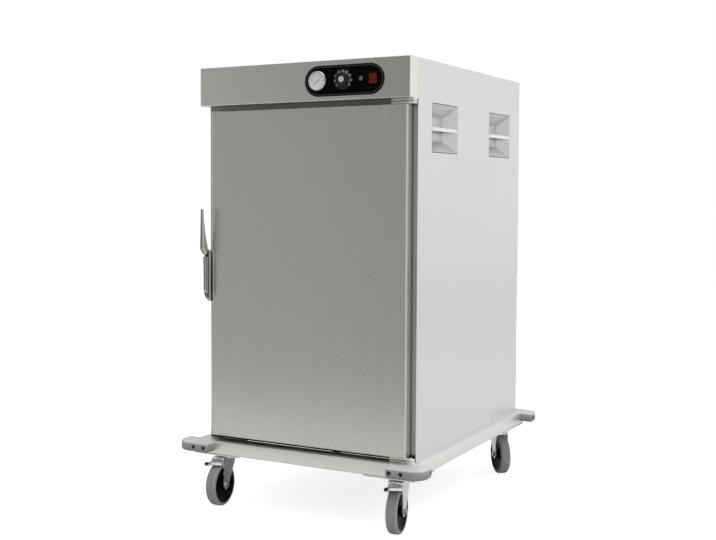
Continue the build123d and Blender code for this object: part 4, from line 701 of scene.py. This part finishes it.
def grip_dish(name, place, outward):
    """A pressed dish as a closed shell: rounded rectangles that grow from the middle of the floor
    to the mouth, and go back down behind at the sheet's thickness."""
    floor = GRIP_DEPTH - GRIP_SHEET
    wall = dish_wall(floor)
    rows = [(*GRIP_FIRST_RING, floor)]
    for wider, deeper, in_turn in ((0, 0, wall), (GRIP_BACK_WIDER, GRIP_SHEET, wall[::-1])):
        rows += [(GRIP_FLOOR[0] / 2 + out + wider, GRIP_FLOOR[1] / 2 + out + wider, corner,
                  floor - rise + deeper) for out, rise, corner in in_turn]
    rows.append((*GRIP_FIRST_RING, GRIP_DEPTH))
    return skinned(name, [dish_ring(place, outward, *row) for row in rows])


dish_steel = stainless("dish steel", (0.60, 0.605, 0.585), 0.30, "y", relief=0.03, streak=0.05)
bar_steel = stainless("bar steel", (0.90, 0.905, 0.89), 0.30, "y", relief=0.02, streak=0.02)
grip_low, grip_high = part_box("grip_dishes")
grip_z = (grip_low.z + grip_high.z) / 2
grip_y = {"front": grip_low.y + GRIP_MOUTH[0] / 2, "rear": grip_high.y - GRIP_MOUTH[0] / 2}
for side, face_x, outward in (("left", grip_low.x, -1), ("right", grip_high.x, 1)):
    for end, y in grip_y.items():
        dish = grip_dish("dish_%s_%s" % (side, end), (face_x, y, grip_z), outward)
        stand_for(dish, dish_steel, "grip_dishes")
stand_for(softened("grip_bar_set", "grip_bars", GRIP_BAR_EDGE), bar_steel, "grip_bars")


# Door: a folded skin with a half-mirror brushed face, filled with wool and closed by a flat sheet
# behind, with a soft black seal round its edge.
door_steel = stainless("door steel", (0.60, 0.618, 0.56), 0.26, "z", relief=0.004, streak=0.010,
                       cloud=0.02)
seal_and_shadow_rubber = moulded("seal and shadow strip rubber", (0.012, 0.012, 0.012), 0.6)
dress(door_steel, "door_outer_skin")
dress(liner_steel, "door_inner_skin", "latch_strike")
dress(seal_and_shadow_rubber, "door_gasket")


# Hinges and latch: plated castings. The hinges' two plates meet on a pin at each right-hand corner
# of the door, and the latch's flared lever stands out from the door's left edge.
HINGE_EDGE = 0.0015
LATCH_EDGE = 0.0022
LEVER_EDGE = 0.0014
# Painted reflections on the latch housing: dark and light stripes down its front and its side.
HOUSING_PAINTED_REFLECTIONS = [("x", ((-0.314, 0.36), (-0.3095, 0.36), (-0.3080, 0.75), (-0.3055, 0.75),
                         (-0.3040, 0.28), (-0.3016, 0.28), (-0.3012, 1.0), (-0.301, 1.0))),
                  ("y", ((-0.4685, 1.0), (-0.4665, 1.0), (-0.4650, 0.28), (-0.4585, 0.28),
                         (-0.4555, 1.0), (-0.4490, 1.0), (-0.4450, 0.4), (-0.4435, 0.4)))]
# Painted reflection on the lever: a dark stripe down its left side.
LEVER_PAINTED_REFLECTION = [("x", ((-0.314, 0.30), (-0.3068, 0.30), (-0.3050, 0.85), (-0.301, 0.85)))]
# Painted highlight on the hinge barrels, with the plates beside them painted darker.
HINGE_PAINTED_HIGHLIGHT = [("x", ((0.265, 0.72), (0.314, 0.72), (0.3168, 1.0), (0.3355, 1.0)))]
# A thin black strip of painted shade stands on the door's face at its left edge, beside the latch housing, where
# the housing's side and its reflection in the door look dark.
SHADOW_STRIP_WIDTH, SHADOW_STRIP_PROUD, SHADOW_STRIP_STEPS = 0.0016, 0.0042, 24
SHADOW_STRIP_FROM_BOTTOM, SHADOW_STRIP_FROM_TOP = 0.002, 0.006
SHADOW_STRIP_SKEW, SHADOW_STRIP_LEAST, SHADOW_STRIP_SLANT = 0.75, 0.02, 0.9

chrome = plated("chrome", (0.78, 0.785, 0.79), 0.09, mottle=0.03)
housing_chrome = plated("housing chrome", (0.80, 0.80, 0.78), 0.16, mottle=0.03,
                        painted_light=HOUSING_PAINTED_REFLECTIONS)
lever_chrome = plated("lever chrome", (0.80, 0.80, 0.79), 0.16, mottle=0.03, painted_light=LEVER_PAINTED_REFLECTION)
hinge_chrome = plated("hinge chrome", (0.86, 0.875, 0.82), 0.22, mottle=0.05, painted_light=HINGE_PAINTED_HIGHLIGHT)
magnet_black = moulded("magnet", (0.04, 0.04, 0.04), 0.5)
for name, node in (("door_leaf_set", "door_hinge_leaves"), ("bracket_set", "frame_hinge_brackets")):
    stand_for(softened(name, node, HINGE_EDGE), hinge_chrome, node)
housing = softened("latch_housing", "latch_body", LATCH_EDGE, segments=3)
stand_for(housing, housing_chrome, "latch_body")
lever = softened("pull_lever", "latch_lever", LEVER_EDGE, segments=3)
stand_for(lever, lever_chrome, "latch_lever")
dress(chrome, "latch_plunger")
dress(magnet_black, "latch_magnet")

# The strip of painted shade: a thin black wedge beside the latch housing, bowed along its height.
door_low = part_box("door_outer_skin")[0]
latch_low, latch_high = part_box("latch_body")
height = np.linspace(latch_low.z + SHADOW_STRIP_FROM_BOTTOM, latch_high.z - SHADOW_STRIP_FROM_TOP,
                     SHADOW_STRIP_STEPS)
share = (height - height[0]) / (height[-1] - height[0])
bow = np.clip(np.sin(math.pi * share ** SHADOW_STRIP_SKEW), SHADOW_STRIP_LEAST, 1) ** 0.5
x0, x1, y = door_low.x, door_low.x + SHADOW_STRIP_WIDTH, door_low.y
rings = [[(x0, y, z), (x1, y, z), (x1, y - proud * SHADOW_STRIP_SLANT, z), (x0, y - proud, z)]
         for z, proud in zip(height, SHADOW_STRIP_PROUD * bow)]
accompany(skinned("latch_shadow_strip", rings), seal_and_shadow_rubber, "latch_body")


# Control hood: brushed sheet like the door's with its grain across, and on it a black plate edged
# by a red line and a bright line.
# Painted light on the hood: its end returns lighter, and its face darker from left to right.
HOOD_PAINTED_LIGHT = [("x", ((-0.330, 1.0), (-0.3275, 0.86), (0.0, 0.80), (0.3275, 0.70), (0.330, 1.0)))]
PLATE_EDGE = 0.0008
LINES = {"plate_red_line": (0.0021, 0.0029), "plate_bright_line": (0.0044, 0.0052)}
LINE_PROUD = 0.00012
LINE_STEPS = 40


def stadium_line(name, low, high, insets):
    """A thin raised line round a plate with half-round ends, between two insets from the plate's
    edge. Its section goes round the two ends' middles, at the ends' radius less the insets."""
    radius = (high.z - low.z) / 2
    middle_z = (high.z + low.z) / 2
    right = np.linspace(-math.pi / 2, math.pi / 2, LINE_STEPS)
    angle = np.concatenate([right, right + math.pi])
    centre_x = np.repeat((high.x - radius, low.x + radius), LINE_STEPS)
    way = np.stack([np.cos(angle), np.zeros_like(angle), np.sin(angle)], -1)
    middle = np.stack([centre_x, np.full_like(angle, low.y), np.full_like(angle, middle_z)], -1)
    outer, inner = radius - insets[0], radius - insets[1]
    corners = [(outer, 0), (outer, -LINE_PROUD), (inner, -LINE_PROUD), (inner, 0)]
    rings = np.stack([middle + way * out + np.array((0, proud, 0)) for out, proud in corners], 1)
    return skinned(name, rings, round_again=True)


hood_steel = stainless("hood steel", (0.80, 0.82, 0.76), 0.24, "x", relief=0.02, streak=0.02,
                       cloud=0.02, painted_light=HOOD_PAINTED_LIGHT)
dress(hood_steel, "control_hood")
plate_black = moulded("plate black", (0.0012, 0.0012, 0.0012), 0.30, relief=0.02, specular=0.05)
line_red = moulded("red line", (0.05, 0.003, 0.002), 0.4, relief=0.01, specular=0.1)
line_bright = moulded("bright line", (0.12, 0.12, 0.12), 0.4, relief=0.01, specular=0.1)
stand_for(softened("plate", "control_plate", PLATE_EDGE), plate_black, "control_plate")
plate_low, plate_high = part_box("control_plate")
for name, insets in LINES.items():
    line = stadium_line(name, plate_low, plate_high, insets)
    accompany(line, line_red if "red" in name else line_bright, "control_plate")


# Dial thermometer: a plated case, a white dial printed with figures in twenties and marks in twos,
# a thin pointer and a clear window.
SCALE_START, SCALE_END = -130.0, 130.0
CASE_EDGE = 0.0003
DIAL_MARKS = 61
DIAL_FIGURES = (0, 20, 40, 60, 80, 100, 120)
DIAL_MARK_R, DIAL_MARK_WIDTH = (0.0186, 0.0212), 0.00022
DIAL_LONG_MARK_R, DIAL_LONG_MARK_WIDTH = (0.0174, 0.0212), 0.00045
DIAL_FIGURE_R, DIAL_FIGURE_SIZE = 0.0140, 0.0042
PRINT_PROUD = 0.00008


def scale_way(angle):
    """The way out from a dial's middle at a clock angle in degrees: sine across, cosine up."""
    turn = np.radians(angle)
    return np.stack([np.sin(turn), np.zeros_like(turn), np.cos(turn)], -1)


def scale_marks(name, centre, angles, radii, width):
    """Thin raised bars that point out from a dial's middle, one at each clock angle."""
    angles = np.asarray(angles, float)
    out = scale_way(angles)
    across = scale_way(angles + 90) * width / 2
    lift = np.array((0, -PRINT_PROUD, 0))
    corners = [out * radii[0] - across, out * radii[1] - across, out * radii[1] + across,
               out * radii[0] + across]
    points = np.stack(corners + [corner + lift for corner in corners], 1) + np.asarray(centre)
    box = np.array([(0, 1, 2, 3), (7, 6, 5, 4), (0, 4, 5, 1), (1, 5, 6, 2), (2, 6, 7, 3),
                    (3, 7, 4, 0)])
    faces = (box[None] + 8 * np.arange(len(angles))[:, None, None]).reshape(-1, 4)
    return meshed(name, points, faces.tolist())


def figures(name, centre, labels, angles, radius, size):
    """Upright numbers round a dial, each made from a text curve and set out from the middle."""
    points, faces, count = [], [], 0
    for label, out in zip(labels, scale_way(np.asarray(angles, float))):
        curve = bpy.data.curves.new(name, "FONT")
        curve.body = str(label)
        curve.size = size
        curve.align_x = "CENTER"
        curve.align_y = "CENTER"
        curve.extrude = PRINT_PROUD / 2
        curve.resolution_u = 3
        writer = bpy.data.objects.new(name, curve)
        mesh = bpy.data.meshes.new_from_object(writer)
        flat = np.empty(len(mesh.vertices) * 3, np.float32)
        mesh.vertices.foreach_get("co", flat)
        flat = flat.astype(float).reshape(-1, 3)
        place = np.asarray(centre) + out * radius
        points.append(np.stack([flat[:, 0], -flat[:, 2] - PRINT_PROUD / 2, flat[:, 1]], -1) + place)
        faces += [[count + i for i in polygon.vertices] for polygon in mesh.polygons]
        count += len(flat)
        bpy.data.objects.remove(writer)
        bpy.data.meshes.remove(mesh)
        bpy.data.curves.remove(curve)
    return meshed(name, np.concatenate(points), faces)


def clear_glass(name):
    """A thin clear window: mostly see-through, with a sharp gloss."""
    made, tree = material(name)
    return surfaced(made, tree, {"Base Color": (0.95, 0.97, 0.97, 1), "Roughness": 0.03,
                                 "Alpha": 0.16})


dial_white = moulded("dial white", (0.86, 0.875, 0.86), 0.5, relief=0.01, patch=0.02)
print_black = moulded("print black", (0.10, 0.10, 0.10), 0.5, relief=0.01)
pointer_paint = moulded("pointer paint", (0.30, 0.30, 0.29), 0.4, relief=0.01)
stand_for(softened("thermometer_cup", "thermometer_case", CASE_EDGE), chrome, "thermometer_case")
dress(dial_white, "thermometer_dial")
dress(pointer_paint, "thermometer_pointer")
dress(clear_glass("dial glass"), "thermometer_glass")
dial_low, dial_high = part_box("thermometer_dial")
dial_centre = ((dial_low.x + dial_high.x) / 2, dial_low.y, (dial_low.z + dial_high.z) / 2)
dial_angles = np.linspace(SCALE_START, SCALE_END, DIAL_MARKS)
long_angles = np.linspace(SCALE_START, SCALE_END, len(DIAL_FIGURES))
for printed in (scale_marks("dial_short_marks", dial_centre, dial_angles, DIAL_MARK_R,
                            DIAL_MARK_WIDTH),
                scale_marks("dial_long_marks", dial_centre, long_angles, DIAL_LONG_MARK_R,
                            DIAL_LONG_MARK_WIDTH),
                figures("dial_figures", dial_centre, DIAL_FIGURES, long_angles, DIAL_FIGURE_R,
                        DIAL_FIGURE_SIZE)):
    accompany(printed, print_black, "thermometer_dial")


# Thermostat: a black moulded knob with fluted sides and a bright cap, pushed on the thermostat's
# spindle in front of the plate. Its scale is printed in white round its skirt.
SKIRT_PROUD = 0.0038
STAT_RING_R, STAT_RING_STEPS = (0.0201, 0.0205), 90
STAT_MARKS = 33
STAT_MARK_R, STAT_MARK_WIDTH = (0.0205, 0.0217), 0.0007
STAT_LONG_MARK_R, STAT_LONG_MARK_WIDTH = (0.0201, 0.0223), 0.0015
STAT_FIGURES = (30, 40, 50, 60, 70, 80, 90, 100, 110)
STAT_FIGURE_R, STAT_FIGURE_SIZE = 0.0245, 0.0050
CAP_R, CAP_WALL, CAP_RISE, CAP_STEPS = 0.0078, 0.0010, 0.0006, 8
DOME_TIP_R = 0.0001
KNOB_EDGE = 0.0005
BUTTON_STEPS = 48


def scale_arc(name, centre, start, end, radii):
    """A thin raised band that runs round a dial between two clock angles."""
    out = scale_way(np.linspace(start, end, STAT_RING_STEPS))
    lift = np.array((0, -PRINT_PROUD, 0))
    rings = np.stack([out * radii[0], out * radii[1], out * radii[1] + lift,
                      out * radii[0] + lift], 1)
    return skinned(name, rings + np.asarray(centre))


def domed_profile(radius, wall, rise, steps):
    """The section of a domed button: its wall from the foot up, and then a quarter of an ellipse to
    its tip, which rises by the sine and narrows by the cosine of an even turn."""
    turn = np.linspace(0, math.pi / 2, steps)
    dome = np.stack([wall + rise * np.sin(turn), radius * np.cos(turn)], -1)
    dome[-1, 1] = DOME_TIP_R
    return np.concatenate([[(0, radius)], dome])


print_white = moulded("print white", (0.78, 0.78, 0.78), 0.5, relief=0.01)
knob_black = moulded("knob black", (0.006, 0.006, 0.006), 0.28, relief=0.03)
cap_silver = plated("cap silver", (0.88, 0.87, 0.89), 0.3)
dress(plate_black, "thermostat_body")
stand_for(softened("fluted_knob", "thermostat_knob", KNOB_EDGE), knob_black, "thermostat_knob")
knob_low, knob_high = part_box("thermostat_knob")
knob_x, knob_z = (knob_low.x + knob_high.x) / 2, (knob_low.z + knob_high.z) / 2
scale_centre = (knob_x, plate_low.y - SKIRT_PROUD, knob_z)
stat_angles = np.linspace(SCALE_START, SCALE_END, len(STAT_FIGURES))
mark_angles = np.linspace(SCALE_START, SCALE_END, STAT_MARKS)
for printed in (scale_arc("thermostat_arc", scale_centre, SCALE_START, SCALE_END, STAT_RING_R),
                scale_marks("thermostat_short_marks", scale_centre, mark_angles, STAT_MARK_R,
                            STAT_MARK_WIDTH),
                scale_marks("thermostat_long_marks", scale_centre, stat_angles, STAT_LONG_MARK_R,
                            STAT_LONG_MARK_WIDTH),
                figures("thermostat_figures", scale_centre, STAT_FIGURES, stat_angles,
                        STAT_FIGURE_R, STAT_FIGURE_SIZE)):
    accompany(printed, print_white, "thermostat_knob")
cap = turned("knob_cap", domed_profile(CAP_R, CAP_WALL, CAP_RISE, CAP_STEPS),
             (knob_x, knob_low.y + CAP_WALL, knob_z), (0, -1, 0), BUTTON_STEPS)
accompany(cap, cap_silver, "thermostat_knob")


# Pilot lamp and switch: a domed lens in a black ring, and a red rocker in a black frame. Both are
# moulded plastic and sit in openings of the plate.
LENS_R, LENS_RISE, LENS_SUNK, LENS_STEPS = 0.0062, 0.0038, 0.0006, 12
RING_R, RING_RISE, RING_ROLL = 0.0080, 0.0024, 0.0008
SWITCH_FRAME_EDGE = 0.0006
ROCKER_EDGE = 0.0009

lens_pink = moulded("lamp lens", (0.115, 0.085, 0.09), 0.18, relief=0.01)
rocker_red = moulded("rocker red", (0.11, 0.006, 0.002), 0.16, relief=0.01, specular=0.25)
lamp_low, lamp_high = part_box("pilot_lamp")
lamp_place = ((lamp_low.x + lamp_high.x) / 2, plate_low.y, (lamp_low.z + lamp_high.z) / 2)
ring_profile = [(0, RING_R), (RING_RISE - RING_ROLL, RING_R), (RING_RISE, RING_R - RING_ROLL),
                (RING_RISE, LENS_R), (0, LENS_R)]
ring = turned("lamp_ring", ring_profile, lamp_place, (0, -1, 0), BUTTON_STEPS, closed=True)
stand_for(ring, plate_black, "pilot_lamp")
lens = turned("lamp_lens", domed_profile(LENS_R, RING_RISE - LENS_SUNK, LENS_RISE, LENS_STEPS),
              lamp_place, (0, -1, 0), BUTTON_STEPS)
accompany(lens, lens_pink, "pilot_lamp")
stand_for(softened("rocker_frame", "switch_frame", SWITCH_FRAME_EDGE), plate_black, "switch_frame")
rocker = softened("rocker", "switch_rocker", ROCKER_EDGE, segments=3)
stand_for(rocker, rocker_red, "switch_rocker")


# Power inlet: a black moulded flange in the back panel, with three plated blades in its pocket
# and a screw on each side that holds it to the sheet.
BLADES = ((-0.007, 0.0), (0.0, -0.003), (0.007, 0.0))
BLADE_HALF = (0.0011, 0.0031)
BLADE_LENGTH = 0.0145
BLADE_CORNER, BLADE_EDGE = 0.0004, 0.0006
INLET_EDGE = 0.0007
INLET_POCKET_DEPTH = 0.020
INLET_SCREW_X, INLET_SCREW_SUNK = 0.0255, 0.0001
INLET_SCREW_R, INLET_SCREW_TIP_R, INLET_SCREW_RISE = 0.0036, 0.0008, 0.0012
INLET_SCREW_BEND = (0.6, 0.85)

blade_nickel = plated("blade nickel", (0.72, 0.68, 0.58), 0.25)
stand_for(softened("inlet", "power_inlet", INLET_EDGE), plate_black, "power_inlet")
inlet_low, inlet_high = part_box("power_inlet")
inlet_x, inlet_z = (inlet_low.x + inlet_high.x) / 2, (inlet_low.z + inlet_high.z) / 2
blade_foot = inlet_high.y - INLET_POCKET_DEPTH
for number, (dx, dz) in enumerate(BLADES, 1):
    x, z = inlet_x + dx, inlet_z + dz
    outline = rounded_corners(rectangle(x - BLADE_HALF[0], x + BLADE_HALF[0], z - BLADE_HALF[1],
                                        z + BLADE_HALF[1]), BLADE_CORNER)
    blade = bar("inlet_blade_%d" % number, outline, blade_foot, blade_foot + BLADE_LENGTH, "y",
                edge=BLADE_EDGE)
    accompany(blade, blade_nickel, "power_inlet")
for side, way in (("left", -1), ("right", 1)):
    head = [(0, INLET_SCREW_R),
            (INLET_SCREW_RISE * INLET_SCREW_BEND[0], INLET_SCREW_R * INLET_SCREW_BEND[1]),
            (INLET_SCREW_RISE, INLET_SCREW_TIP_R)]
    place = (inlet_x + way * INLET_SCREW_X, inlet_high.y - INLET_SCREW_SUNK, inlet_z)
    screw = turned("inlet_screw_" + side, head, place, (0, 1, 0), 24)
    accompany(screw, screw_zinc, "power_inlet")
